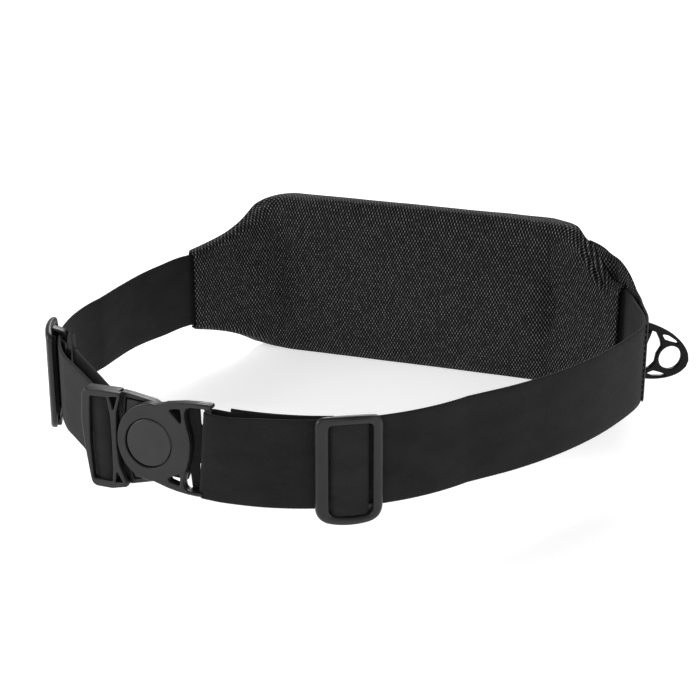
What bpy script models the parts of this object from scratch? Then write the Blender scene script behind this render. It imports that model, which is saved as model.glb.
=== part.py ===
"""Money belt: a slim waist pouch on a 50 mm elastic belt, standing as a closed loop.

Frame: origin in the middle of the pouch's wearer side, +X along the pouch, +Z up, -Y towards the wearer.
The buckle closes the loop on the -Y side. All sizes are metres.
"""

import math

import bmesh
import bpy
from mathutils import Matrix, Vector
from mathutils.geometry import tessellate_polygon

MM = 0.001
GAP = 0.3 * MM  # between pieces that touch

# ---- driving dimensions -------------------------------------------------------------------------
STRAP_HALF = 25.0 * MM  # 50 mm belt webbing
STRAP_T = 1.8 * MM
GATHERED_HALF = 22.6 * MM  # the webbing's half width where it is squeezed through a buckle

POUCH_HALF_H = 52.5 * MM
SHOULDER_X = 101.5 * MM  # where the pouch's flat back turns into a wing
SHOULDER_R = 14.0 * MM
MESH_T = 3.0 * MM
FOAM_T = 4.0 * MM
WALL_T = 0.9 * MM
SKIN_T = 1.2 * MM
EDGE_DEPTH = 18.0 * MM  # depth of the pouch at its top and bottom edges
BULGE = 12.0 * MM  # how far the front stands proud of those edges
POCKET_BULGE = 7.5 * MM
SKIN_AT_WING = 6.9 * MM
BELT_DEPTH = 4.3 * MM  # of the middle of the belt sewn between a wing's two fabrics

WING_LEFT = {"angle": math.radians(51.4), "length": 60.0 * MM, "body_end": 125.0 * MM}
WING_RIGHT = {"angle": math.radians(27.9), "length": 47.0 * MM, "body_end": 116.0 * MM}

# arcs that the two belt sliders travel round, in plan: centre, radius of the belt's middle
RIGHT_ARC = {"centre": (-20.0 * MM, -148.0 * MM), "radius": 138.0 * MM}
LEFT_ARC = {"centre": (-51.1 * MM, -156.6 * MM), "radius": 115.0 * MM}
RIGHT_SLIDER_AT = math.radians(-61.9)
LEFT_SLIDER_AT = math.radians(203.0)

BUCKLE_CENTRE = (-60.2 * MM, -278.0 * MM)
BUCKLE_TURN = math.radians(-6.0)
RIGHT_BAR_X = 36.0 * MM  # from the middle of the buckle's disc
LEFT_BAR_X = -29.4 * MM
BAR_R = 2.3 * MM
LEFT_BAR_Y = 2.0 * MM  # the receiver's bar sits towards the wearer

MAIN_ZIP_Z = 33.0 * MM
POCKET_ZIP_Z = 9.0 * MM
ZIP_SLIT = 7.0 * MM
CHAIN_HALF = 3.0 * MM
ZIP_HALF_LENGTH = 84.0 * MM
ZIP_SLIDER_X = 77.0 * MM
PULL_PIVOT_RISE = 2.4 * MM  # of the pull's axis over the slider's underside

RING_PIVOT = (155.6 * MM, -15.5 * MM, -17.2 * MM)
RING_TURN = math.radians(26.0)
RING_TILT = math.radians(13.5)
RING_HALF_T = 1.8 * MM


# ---- scene and materials ------------------------------------------------------------------------
def clear_scene():
    for obj in list(bpy.data.objects):
        bpy.data.objects.remove(obj, do_unlink=True)


def material(name, colour, roughness, metallic=0.0):
    mat = bpy.data.materials.new(name)
    mat.use_nodes = True
    shader = mat.node_tree.nodes["Principled BSDF"]
    shader.inputs["Base Color"].default_value = (*colour, 1.0)
    shader.inputs["Roughness"].default_value = roughness
    shader.inputs["Metallic"].default_value = metallic
    mat.diffuse_color = (*colour, 1.0)
    return mat


def make_materials():
    return {
        "air_mesh": material("air_mesh", (0.020, 0.020, 0.021), 0.9),
        "foam": material("foam", (0.35, 0.35, 0.36), 0.95),
        "lining": material("lining", (0.06, 0.06, 0.065), 0.8),
        "shell_fabric": material("shell_fabric", (0.022, 0.022, 0.024), 0.75),
        "webbing": material("webbing", (0.014, 0.014, 0.015), 0.7),
        "zip_tape": material("zip_tape", (0.018, 0.018, 0.019), 0.8),
        "zip_coil": material("zip_coil", (0.025, 0.025, 0.026), 0.45),
        "zip_metal": material("zip_metal", (0.08, 0.08, 0.085), 0.35, 0.8),
        "plastic": material("plastic", (0.030, 0.030, 0.032), 0.45),
        "steel": material("steel", (0.55, 0.55, 0.56), 0.3, 1.0),
    }


def add_object(name, mesh, mat, location=(0.0, 0.0, 0.0), turn=0.0):
    mesh.materials.append(mat)
    mesh.shade_smooth()
    mesh.set_sharp_from_angle(angle=math.radians(35))
    obj = bpy.data.objects.new(name, mesh)
    obj.location = location
    obj.rotation_euler = (0.0, 0.0, turn)
    bpy.context.scene.collection.objects.link(obj)
    return obj


def mesh_from(name, verts, faces):
    mesh = bpy.data.meshes.new(name)
    mesh.from_pydata([tuple(v) for v in verts], [], faces)
    bm = bmesh.new()
    bm.from_mesh(mesh)
    bmesh.ops.recalc_face_normals(bm, faces=bm.faces)
    bm.to_mesh(mesh)
    bm.free()
    return mesh


def bevel(obj, width, segments=2):
    mod = obj.modifiers.new("soft_edges", "BEVEL")
    mod.width = width
    mod.segments = segments
    mod.limit_method = "ANGLE"
    mod.angle_limit = math.radians(40)
    mod.use_clamp_overlap = True


def boolean(obj, other, operation):
    """Joins or cuts, and keeps the other object out of the build."""
    mod = obj.modifiers.new(operation.lower(), "BOOLEAN")
    mod.operation = operation
    mod.solver = "EXACT"
    mod.object = other
    other.hide_render = True
    other.display_type = "WIRE"


# ---- plan curves ----------------------------------------------------------------------------------
def catmull(points, steps=6):
    """A smooth curve through plan points, as a denser list of points."""
    pts = [Vector(p) for p in points]
    pts = [2 * pts[0] - pts[1], *pts, 2 * pts[-1] - pts[-2]]
    out = []
    for a, b, c, d in zip(pts, pts[1:], pts[2:], pts[3:]):
        for k in range(steps):
            t = k / steps
            out.append(
                0.5
                * (
                    2 * b
                    + (c - a) * t
                    + (2 * a - 5 * b + 4 * c - d) * t**2
                    + (3 * b - a - 3 * c + d) * t**3
                )
            )
    out.append(pts[-2])
    return out


def arc(centre, radius, start, end, steps):
    """Plan points from one angle to another round a centre."""
    return [
        Vector(centre) + radius * Vector((math.cos(a), math.sin(a)))
        for a in (start + (end - start) * k / steps for k in range(steps + 1))
    ]


def normals_left(path):
    """Unit normals to the left of the way along the path."""
    out = []
    for i in range(len(path)):
        way = path[min(i + 1, len(path) - 1)] - path[max(i - 1, 0)]
        out.append(Vector((-way.y, way.x)).normalized())
    return out


def offset(path, distances):
    """The path moved to its left, by one distance for each point."""
    return [p + n * d for p, n, d in zip(path, normals_left(path), distances)]


def lengths(path):
    run = [0.0]
    for a, b in zip(path, path[1:]):
        run.append(run[-1] + (b - a).length)
    return run


# ---- solids ---------------------------------------------------------------------------------------
def ribbon(name, path, half_height, thickness, mat, z_mid=0.0, shear=None):
    """Flat webbing on edge along a plan path. half_height is a number or one for each point.

    shear moves each point of the path by its own plan vector for each metre of height.
    """
    count = len(path)
    heights = half_height if isinstance(half_height, list) else [half_height] * count
    slopes = shear or [Vector((0.0, 0.0))] * count
    verts = []
    for p, n, h, slope in zip(path, normals_left(path), heights, slopes):
        for side, z in ((-1, -h), (1, -h), (1, h), (-1, h)):
            at = p + n * side * thickness / 2 + slope * z
            verts.append((at.x, at.y, z_mid + z))
    faces = [(0, 1, 2, 3), tuple(4 * (count - 1) + k for k in (3, 2, 1, 0))]
    for i in range(count - 1):
        for k in range(4):
            a, b = 4 * i + k, 4 * i + (k + 1) % 4
            faces.append((a, b, b + 4, a + 4))
    return add_object(name, mesh_from(name, verts, faces), mat)


def slab(name, inner, outer, mat):
    """A closed sheet between two equal grids of points."""
    rows, cols = len(inner), len(inner[0])
    verts = [p for grid in (inner, outer) for row in grid for p in row]
    skip = rows * cols

    def at(side, i, j):
        return side * skip + i * cols + j

    faces = []
    for i in range(rows - 1):
        for j in range(cols - 1):
            faces.append((at(0, i, j), at(0, i, j + 1), at(0, i + 1, j + 1), at(0, i + 1, j)))
            faces.append((at(1, i, j), at(1, i + 1, j), at(1, i + 1, j + 1), at(1, i, j + 1)))
    edge = [(i, 0) for i in range(rows)] + [(rows - 1, j) for j in range(1, cols)]
    edge += [(i, cols - 1) for i in range(rows - 2, -1, -1)] + [(0, j) for j in range(cols - 2, 0, -1)]
    for (i, j), (k, m) in zip(edge, edge[1:] + edge[:1]):
        faces.append((at(0, i, j), at(1, i, j), at(1, k, m), at(0, k, m)))
    return add_object(name, mesh_from(name, verts, faces), mat)


def plate_mesh(name, outline, holes, front, back):
    """A flat plate in the XZ plane from y = front to y = back, with holes cut through it."""
    loops = [[Vector((x, 0.0, z)) for x, z in loop] for loop in [outline, *holes]]
    flat = [v for loop in loops for v in loop]
    verts = [(v.x, y, v.z) for y in (front, back) for v in flat]
    skip = len(flat)
    tris = tessellate_polygon(loops)
    faces = [tuple(t) for t in tris] + [tuple(skip + k for k in reversed(t)) for t in tris]
    start = 0
    for loop in loops:
        for k in range(len(loop)):
            a, b = start + k, start + (k + 1) % len(loop)
            faces.append((a, b, skip + b, skip + a))
        start += len(loop)
    return mesh_from(name, verts, faces)


def prism_mesh(name, outline, low, high):
    """An outline in the XY plane drawn up from z = low to z = high."""
    count = len(outline)
    verts = [(x, y, z) for z in (low, high) for x, y in outline]
    faces = [tuple(range(count)), tuple(range(2 * count - 1, count - 1, -1))]
    faces += [(k, (k + 1) % count, count + (k + 1) % count, count + k) for k in range(count)]
    return mesh_from(name, verts, faces)


def circle_points(radius, steps, centre=(0.0, 0.0), start=0.0, end=2 * math.pi):
    """Points round a circle in (x, z); a full circle doesn't repeat its first point."""
    full = abs(end - start - 2 * math.pi) < 1e-9
    count = steps if full else steps + 1
    return [
        (
            centre[0] + radius * math.cos(start + (end - start) * k / steps),
            centre[1] + radius * math.sin(start + (end - start) * k / steps),
        )
        for k in range(count)
    ]


def rounded_box(half_x, half_z, radius, steps=4, centre=(0.0, 0.0)):
    """The outline of a rectangle with round corners."""
    out = []
    for turn, (sx, sz) in enumerate(((1, 1), (-1, 1), (-1, -1), (1, -1))):
        corner = (centre[0] + sx * (half_x - radius), centre[1] + sz * (half_z - radius))
        start = turn * math.pi / 2
        out += circle_points(radius, steps, corner, start, start + math.pi / 2)
    return out


def bar_mesh(name, radius, half_length, centre):
    """An upright round bar."""
    return prism_mesh(name, circle_points(radius, 16, centre), -half_length, half_length)


# ---- the pouch's own coordinates --------------------------------------------------------------------
def pouch_point(u, z, d):
    """The point u along the pouch's back, at height z and d out from its wearer side."""
    side = 1.0 if u >= 0 else -1.0
    wing = WING_RIGHT if u >= 0 else WING_LEFT
    angle = wing["angle"]
    run = abs(u) - (SHOULDER_X - SHOULDER_R * math.tan(angle / 2))
    if run <= 0:
        return Vector((u, d, z))
    turned = min(run / SHOULDER_R, angle)
    start_x = abs(u) - run
    x = start_x + (SHOULDER_R + d) * math.sin(turned)
    y = -SHOULDER_R + (SHOULDER_R + d) * math.cos(turned)
    rest = run - SHOULDER_R * turned
    x += rest * math.cos(turned)
    y -= rest * math.sin(turned)
    return Vector((side * x, y, z))


def seam_u(wing):
    """How far along the back the wing's end seam lies."""
    cut = SHOULDER_R * math.tan(wing["angle"] / 2)
    return SHOULDER_X - cut + SHOULDER_R * wing["angle"] + wing["length"] - cut


SEAM_LEFT = -seam_u(WING_LEFT)
SEAM_RIGHT = seam_u(WING_RIGHT)

# half height of the mesh back from the shoulder to each wing's end seam: (u, half height)
BACK_OUTLINE_LEFT = [(93, 52.5), (105, 51.8), (117, 46.0), (133, 36.0), (148, 31.0), (161, 26.6)]
BACK_OUTLINE_RIGHT = [(93, 52.5), (105, 51.5), (116, 46.0), (126, 37.0), (133, 28.0), (139, 26.2), (149, 26.0)]
# half height of the pouch's shell over the same stretch
SHELL_OUTLINE = [(93, 52.5), (105, 51.0), (117, 45.0), (133, 35.5)]


def value_at(u, points):
    """The value at u on a smooth curve through (u, value) points, which are in millimetres."""
    u = abs(u) / MM
    if u <= points[0][0]:
        return points[0][1] * MM
    curve = catmull([Vector(p) for p in points], 6)
    for a, b in zip(curve, curve[1:]):
        if u <= b.x:
            return (a.y + (b.y - a.y) * (u - a.x) / (b.x - a.x)) * MM
    return curve[-1].y * MM


def back_height(u):
    return value_at(u, BACK_OUTLINE_RIGHT if u >= 0 else BACK_OUTLINE_LEFT)


def shell_height(u):
    return value_at(u, SHELL_OUTLINE)


def fullness(u):
    """1 along the pouch's middle, falling to 0 where its shell meets the wing."""
    end = (WING_RIGHT if u >= 0 else WING_LEFT)["body_end"]
    t = min(max((end - abs(u)) / (end - 88 * MM), 0.0), 1.0)
    return t * t * (3 - 2 * t)


def edge_depth(u):
    return SKIN_AT_WING + (EDGE_DEPTH - SKIN_AT_WING) * fullness(u)


def skin_depth(u, z):
    """How far the pouch's outer skin is from the wearer side."""
    share = min(abs(z) / shell_height(u), 1.0)
    return edge_depth(u) + BULGE * fullness(u) * (1 - share**6)


def spread(low, high, steps):
    return [low + (high - low) * k / steps for k in range(steps + 1)]


def pouch_sheet(name, us, heights, depth_in, depth_out, mat):
    """A sheet in pouch coordinates. heights(u) gives its z values at u; the depths are functions of (u, z)."""
    inner = [[pouch_point(u, z, depth_in(u, z)) for z in heights(u)] for u in us]
    outer = [[pouch_point(u, z, depth_out(u, z)) for z in heights(u)] for u in us]
    return slab(name, inner, outer, mat)


def flat(depth):
    return lambda u, z: depth


# ---- the pouch --------------------------------------------------------------------------------------
def wing_us(end, steps):
    """Stations from the pouch's middle out to a wing's end, close together at the shoulder's bend."""
    side = 1.0 if end > 0 else -1.0
    near = [side * s * MM for s in (0, 40, 80, 92, 95, 98, 101, 104, 107, 111)]
    return near + spread(near[-1], end, steps)[1:]


def build_back(mats):
    left = wing_us(SEAM_LEFT, 6)
    right = wing_us(SEAM_RIGHT, 6)
    us = left[::-1] + right[1:]
    pouch_sheet(
        "back_mesh",
        us,
        lambda u: spread(-back_height(u), back_height(u), 6),
        flat(0.0),
        flat(MESH_T),
        mats["air_mesh"],
    )
    body = spread(-93 * MM, 93 * MM, 2)
    foam_in = MESH_T + GAP
    foam_out = foam_in + FOAM_T
    pouch_sheet(
        "back_foam_pad",
        body,
        lambda u: spread(-49 * MM, 49 * MM, 2),
        flat(foam_in),
        flat(foam_out),
        mats["foam"],
    )
    pouch_sheet(
        "compartment_back_wall",
        body,
        lambda u: spread(-50 * MM, 50 * MM, 2),
        flat(foam_out + GAP),
        flat(foam_out + GAP + WALL_T),
        mats["lining"],
    )
    pouch_sheet(
        "compartment_divider",
        spread(-90 * MM, 90 * MM, 2),
        lambda u: spread(-49 * MM, 18 * MM, 2),
        flat(15.0 * MM),
        flat(15.8 * MM),
        mats["lining"],
    )


def build_wing_backs(mats):
    """The smooth outer fabric of each wing. The right one runs on past its seam to the belt's bend."""
    inner = 5.7 * MM
    us = spread(-WING_LEFT["body_end"] - GAP, SEAM_LEFT, 5)
    pouch_sheet(
        "left_wing_fabric",
        us,
        lambda u: spread(-back_height(u), back_height(u), 3),
        flat(inner),
        flat(inner + SKIN_T),
        mats["shell_fabric"],
    )
    line = right_belt_line()[: 5 * 5 + 4]
    run = lengths(line)
    stand_off = [(0, 2.0), (34, 2.1), (50, 4.8), (66, 3.6), (90, 2.2)]
    path = offset(line, [value_at(s, stand_off) for s in run])
    outline = [(0, 45.0), (22, 42.0), (40, 35.0), (58, 29.0), (80, 26.0)]
    heights = [value_at(s, outline) for s in run]
    ribbon("right_wing_fabric", path, heights, SKIN_T, mats["shell_fabric"])


def build_shell(mats):
    """Front panels with the zip slits between them, end panels, and the gussets along the edges."""
    fabric = mats["shell_fabric"]
    slit_low = MAIN_ZIP_Z - ZIP_SLIT / 2
    slit_high = MAIN_ZIP_Z + ZIP_SLIT / 2
    us = [s * MM for s in (-96, -92, -88, -30, 30, 88, 92, 96)]

    def under(u, z):
        return skin_depth(u, z) - SKIN_T

    pouch_sheet(
        "front_panel_lower",
        us,
        lambda u: [-shell_height(u) + s * MM for s in (0, 3, 7, 12, 20, 30)] + [0.0, slit_low],
        under,
        skin_depth,
        fabric,
    )
    pouch_sheet(
        "front_panel_upper",
        us,
        lambda u: [slit_high] + [shell_height(u) - s * MM for s in (12, 7, 3, 0)],
        under,
        skin_depth,
        fabric,
    )
    for name, side, wing in (("left_end_panel", -1, WING_LEFT), ("right_end_panel", 1, WING_RIGHT)):
        stations = spread(side * 96.3 * MM, side * wing["body_end"], 6)
        pouch_sheet(
            name,
            stations,
            lambda u: [shell_height(u) * s for s in (-1, -0.94, -0.85, -0.7, -0.4, 0, 0.4, 0.7, 0.85, 0.94, 1)],
            under,
            skin_depth,
            fabric,
        )
    left = [-u for u in wing_us(WING_LEFT["body_end"], 3)]
    right = wing_us(WING_RIGHT["body_end"], 3)
    us = left[::-1] + right[1:]
    for name, side in (("top_gusset", 1), ("bottom_gusset", -1)):
        inner = [
            [
                pouch_point(u, side * (shell_height(u) - SKIN_T), d)
                for d in (MESH_T + GAP, edge_depth(u) - SKIN_T - 2 * GAP)
            ]
            for u in us
        ]
        outer = [
            [
                pouch_point(u, side * shell_height(u), d)
                for d in (MESH_T + GAP, edge_depth(u) - SKIN_T - 2 * GAP)
            ]
            for u in us
        ]
        slab(name, inner, outer, fabric)


def pocket_face(u, z):
    """How far the front pocket's outer side is from the wearer side."""
    ends = min(max((93 * MM - abs(u)) / (9 * MM), 0.0), 1.0)
    low = min(max((z + 47 * MM) / (9 * MM), 0.0), 1.0)
    high = min(max((21 * MM - z) / (6 * MM), 0.0), 1.0)
    share = min(t * t * (3 - 2 * t) for t in (ends, low, high))
    return skin_depth(u, z) + 2 * GAP + SKIN_T + POCKET_BULGE * share


def build_pocket(mats):
    """The patch pocket on the front, below and above its zip."""

    def under(u, z):
        return pocket_face(u, z) - SKIN_T

    us = [s * MM for s in (-93, -90.5, -88, -84, -30, 30, 84, 88, 90.5, 93)]
    low = [s * MM for s in (-47, -44.5, -41.5, -38, -25, -10)] + [POCKET_ZIP_Z - ZIP_SLIT / 2]
    high = [POCKET_ZIP_Z + ZIP_SLIT / 2] + [s * MM for s in (15, 17, 19, 21)]
    for name, heights in (("pocket_panel", low), ("pocket_zip_band", high)):
        pouch_sheet(name, us, lambda u, heights=heights: heights, under, pocket_face, mats["shell_fabric"])


def build_zip(mats, prefix, z_mid, face, upper_width):
    """A coil zip along X: two tapes under the fabric, the closed chain, end stops, slider and pull.

    face(u, z) is the depth of the fabric's outer side at the zip.
    """
    tape_t = 0.8 * MM
    tape_face = face(0.0, z_mid) - SKIN_T - GAP

    def under(u, z):
        return min(tape_face, face(0.0, z) - SKIN_T - GAP)

    us = spread(-ZIP_HALF_LENGTH, ZIP_HALF_LENGTH, 2)
    for name, low, high in (
        ("tape_lower", z_mid - 9.0 * MM, z_mid - GAP / 2),
        ("tape_upper", z_mid + GAP / 2, z_mid + upper_width),
    ):
        pouch_sheet(
            f"{prefix}_{name}",
            us,
            lambda u, low=low, high=high: spread(low, high, 3),
            lambda u, z: under(u, z) - tape_t,
            under,
            mats["zip_tape"],
        )
    chain_in = tape_face + GAP
    chain_out = chain_in + 2.2 * MM
    pouch_sheet(
        f"{prefix}_chain",
        us,
        lambda u: [z_mid + s * CHAIN_HALF for s in (-1, -0.6, 0, 0.6, 1)],
        flat(chain_in),
        lambda u, z: chain_out - (z - z_mid) ** 2 / (12 * MM),
        mats["zip_coil"],
    )
    for name, side in (("stop_left", -1), ("stop_right", 1)):
        outline = rounded_box(1.2 * MM, CHAIN_HALF, 0.6 * MM, 2, (side * (ZIP_HALF_LENGTH + 1.6 * MM), z_mid))
        mesh = plate_mesh(f"{prefix}_{name}", outline, [], chain_in, chain_out)
        add_object(f"{prefix}_{name}", mesh, mats["zip_metal"])
    build_zip_slider(mats, prefix, (ZIP_SLIDER_X, chain_out + GAP, z_mid))


def build_zip_slider(mats, prefix, place):
    """The slider's plate with a bridge on it, and the pull that turns about its own upright bar in the bridge."""
    plate_t = 1.5 * MM
    plate = [(6.0, 2.6), (6.0, -2.6), (3.0, -3.6), (-2.0, -4.6), (-6.0, -4.6), (-6.0, 4.6), (-2.0, 4.6), (3.0, 3.6)]
    mesh = plate_mesh(f"{prefix}_slider", scaled(plate), [], 0.0, plate_t)
    slider = add_object(f"{prefix}_slider", mesh, mats["zip_metal"], place)
    arch = [(-2.6, 1.2), (-2.6, 3.2), (-1.6, 4.3), (1.6, 4.3), (2.6, 3.2), (2.6, 1.2)]
    arch += [(1.5, 1.2), (1.5, 2.6), (0.9, 3.3), (-0.9, 3.3), (-1.5, 2.6), (-1.5, 1.2)]
    mesh = prism_mesh(f"{prefix}_bridge_join", scaled(arch), -0.9 * MM, 0.9 * MM)
    boolean(slider, add_object(f"{prefix}_bridge_join", mesh, mats["zip_metal"], place), "UNION")
    outline = [(-0.6, -2.2), (4.4, -2.7), (17.0, -2.9), (19.0, -1.6), (19.0, 1.6), (17.0, 2.9), (4.4, 2.7), (-0.6, 2.2)]
    eye = [(0.6, -1.3), (3.8, -1.3), (3.8, 1.3), (0.6, 1.3)]
    grip = rounded_box(3.2 * MM, 0.9 * MM, 0.7 * MM, 2, (12.0 * MM, 0.0))
    mesh = plate_mesh(f"{prefix}_pull", scaled(outline), [scaled(eye), grip], -0.4 * MM, 0.4 * MM)
    pivot = (place[0], place[1] + PULL_PIVOT_RISE, place[2])
    add_object(f"{prefix}_pull", mesh, mats["zip_metal"], pivot)


# ---- belt webbing -------------------------------------------------------------------------------------
def right_belt_line():
    """Plan curve of the right belt from the pouch's end through the wing and round the bend, 5 points to a stretch."""
    sewn = [pouch_point(u * MM, 0.0, BELT_DEPTH).xy for u in (116.6, 126, 138, 150)]
    bend = [(157, -40), (167.5, -64), (170, -82), (165, -104), (154, -135), (139, -165), (120.5, -193)]
    bend = [Vector((x * MM, y * MM)) for x, y in bend]
    first = arc(RIGHT_ARC["centre"], RIGHT_ARC["radius"], math.radians(-31), 0.0, 1)[0]
    return catmull([*sewn, *bend, first], 5)


def buckle_to_plan(x, y):
    """A point given in the buckle's own axes, in plan."""
    turn = Matrix.Rotation(BUCKLE_TURN, 2)
    return Vector(BUCKLE_CENTRE) + turn @ Vector((x, y))


def fade_heights(path, squeezed_end, length):
    """Half heights along a belt that is gathered to a narrower width at its squeezed end."""
    run = lengths(path)
    total = run[-1]
    out = []
    for s in run:
        away = total - s if squeezed_end == "last" else s
        t = min(away / length, 1.0)
        out.append(GATHERED_HALF + (STRAP_HALF - GATHERED_HALF) * t * t * (3 - 2 * t))
    return out


def build_right_belt(mats):
    """From inside the right wing round to the bar of the buckle's disc half, and back to the slider."""
    centre, radius = RIGHT_ARC["centre"], RIGHT_ARC["radius"]
    front = buckle_to_plan(RIGHT_BAR_X + 7 * MM, -3.6 * MM)
    end_angle = math.atan2(front.y - centre[1], front.x - centre[0])
    round_part = arc(centre, radius, math.radians(-31), end_angle, 24)
    path = right_belt_line()[5:-1] + round_part
    ribbon("right_belt", path, fade_heights(path, "last", 22 * MM), STRAP_T, mats["webbing"])

    back = buckle_to_plan(RIGHT_BAR_X + 7.4 * MM, 3.6 * MM)
    start_angle = math.atan2(back.y - centre[1], back.x - centre[0])
    inner = [back] + arc(centre, radius - 8.4 * MM, start_angle + 0.06, RIGHT_SLIDER_AT - 0.03, 12)
    ribbon("right_belt_return", inner, fade_heights(inner, "first", 22 * MM), STRAP_T, mats["webbing"])

    bar = buckle_to_plan(RIGHT_BAR_X, 0.0)
    turn = math.pi / 2 + BUCKLE_TURN
    wrap = arc(bar, 3.6 * MM, turn, turn + math.pi, 12)
    wrap = [buckle_to_plan(RIGHT_BAR_X + 7 * MM - GAP, 3.6 * MM), *wrap, front_leg_end()]
    ribbon("right_belt_fold", wrap, GATHERED_HALF, STRAP_T, mats["webbing"])


def front_leg_end():
    return buckle_to_plan(RIGHT_BAR_X + 7 * MM - GAP, -3.6 * MM)


def build_left_belt(mats):
    """From inside the left wing round to the receiver's bar, and back to the slider."""
    centre, radius = LEFT_ARC["centre"], LEFT_ARC["radius"]
    sewn = [pouch_point(u * MM, 0.0, BELT_DEPTH).xy for u in (-136, -148, -162)]
    side = [Vector((x * MM, y * MM)) for x, y in ((-152, -63.5), (-158.5, -84), (-162, -105))]
    round_part = arc(centre, radius, math.radians(169), math.radians(221.6), 20)
    bar = buckle_to_plan(LEFT_BAR_X, LEFT_BAR_Y)
    wrap_r = BAR_R + GAP + STRAP_T / 2
    lead = math.atan2(-0.70, 0.71)
    # the belt runs straight from the arc to the bar and turns round its far side
    front_from = lead + math.pi * 1.5
    path = catmull([*sewn, *side, round_part[0]], 5)[:-1] + round_part
    touch = bar + wrap_r * Vector((math.cos(front_from), math.sin(front_from)))
    straight = touch - round_part[-1]
    path += [round_part[-1] + straight * s for s in (0.25, 0.5, 0.72)]
    ribbon("left_belt", path, fade_heights(path, "last", 22 * MM), STRAP_T, mats["webbing"])
    leg = touch - straight.normalized() * (straight.length * 0.28 - GAP)
    fold = [leg] + arc(bar, wrap_r, front_from, front_from + math.pi, 12)
    back_leg = fold[-1] - straight.normalized() * 9 * MM
    fold.append(back_leg)
    ribbon("left_belt_fold", fold, GATHERED_HALF, STRAP_T, mats["webbing"])
    inner_arc = arc(centre, radius - 8.4 * MM, math.radians(221.6), LEFT_SLIDER_AT + 0.03, 8)
    start = back_leg - straight.normalized() * GAP
    inner = catmull([start, start.lerp(inner_arc[0], 0.5), inner_arc[0]], 4)[:-1] + inner_arc
    ribbon("left_belt_return", inner, fade_heights(inner, "first", 22 * MM), STRAP_T, mats["webbing"])


# ---- belt sliders ---------------------------------------------------------------------------------------
def slider_frame_mesh(name, flip):
    """The bowed outer frame: a rounded bar swept round the window."""
    half_x, half_z, corner = 14.0 * MM, 28.4 * MM, 5.5 * MM
    loop = rounded_box(half_x, half_z, corner, 5)
    dense = []
    for a, b in zip(loop, loop[1:] + loop[:1]):
        parts = max(1, round((Vector(b) - Vector(a)).length / (6 * MM)))
        dense += [Vector(a).lerp(Vector(b), k / parts) for k in range(parts)]
    count = len(dense)
    section = [(-1, 0.35), (-0.6, 1), (0.6, 1), (1, 0.35), (1, -0.5), (0.7, -1), (-0.7, -1), (-1, -0.5)]
    verts = []
    for i, p in enumerate(dense):
        way = dense[(i + 1) % count] - dense[i - 1]
        out = Vector((way.y, -way.x)).normalized()
        upright = abs(out.x)
        wide = 3.3 * MM if out.x * flip < 0 else 2.4 * MM
        half = 1.45 * MM + (wide - 1.45 * MM) * upright**2
        bow = 1.1 * MM * (1 - (p.x / (17 * MM)) ** 2)
        for across, through in section:
            at = p + out * across * half
            verts.append((at.x, -(3.3 * MM + bow * 0.9) - through * 1.9 * MM, at.y))
    faces = []
    size = len(section)
    for i in range(count):
        for k in range(size):
            a, b = i * size + k, i * size + (k + 1) % size
            c, d = ((i + 1) % count) * size + (k + 1) % size, ((i + 1) % count) * size + k
            faces.append((a, b, c, d))
    return mesh_from(name, verts, faces)


def slider_bar_mesh(name):
    """The middle bar on the wearer's side, with an end block at each rail."""
    low, high = 2.9 * MM, 5.4 * MM
    block = 27.2 * MM
    outline = [(-3.6, low), (-3.6, high), (3.6, high), (3.6, low)]
    profile = [(-block - 2.4 * MM, -3.5 * MM), (-block - 2.4 * MM, high), (block + 2.4 * MM, high)]
    profile += [(block + 2.4 * MM, -3.5 * MM), (block - 0.9 * MM, -3.5 * MM), (block - 0.9 * MM, low)]
    profile += [(-block + 0.9 * MM, low), (-block + 0.9 * MM, -3.5 * MM)]
    half = outline[2][0] * MM
    count = len(profile)
    verts = [(x, y, z) for x in (-half, half) for z, y in profile]
    faces = [tuple(range(count)), tuple(range(2 * count - 1, count - 1, -1))]
    faces += [(k, (k + 1) % count, count + (k + 1) % count, count + k) for k in range(count)]
    return mesh_from(name, verts, faces)


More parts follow.
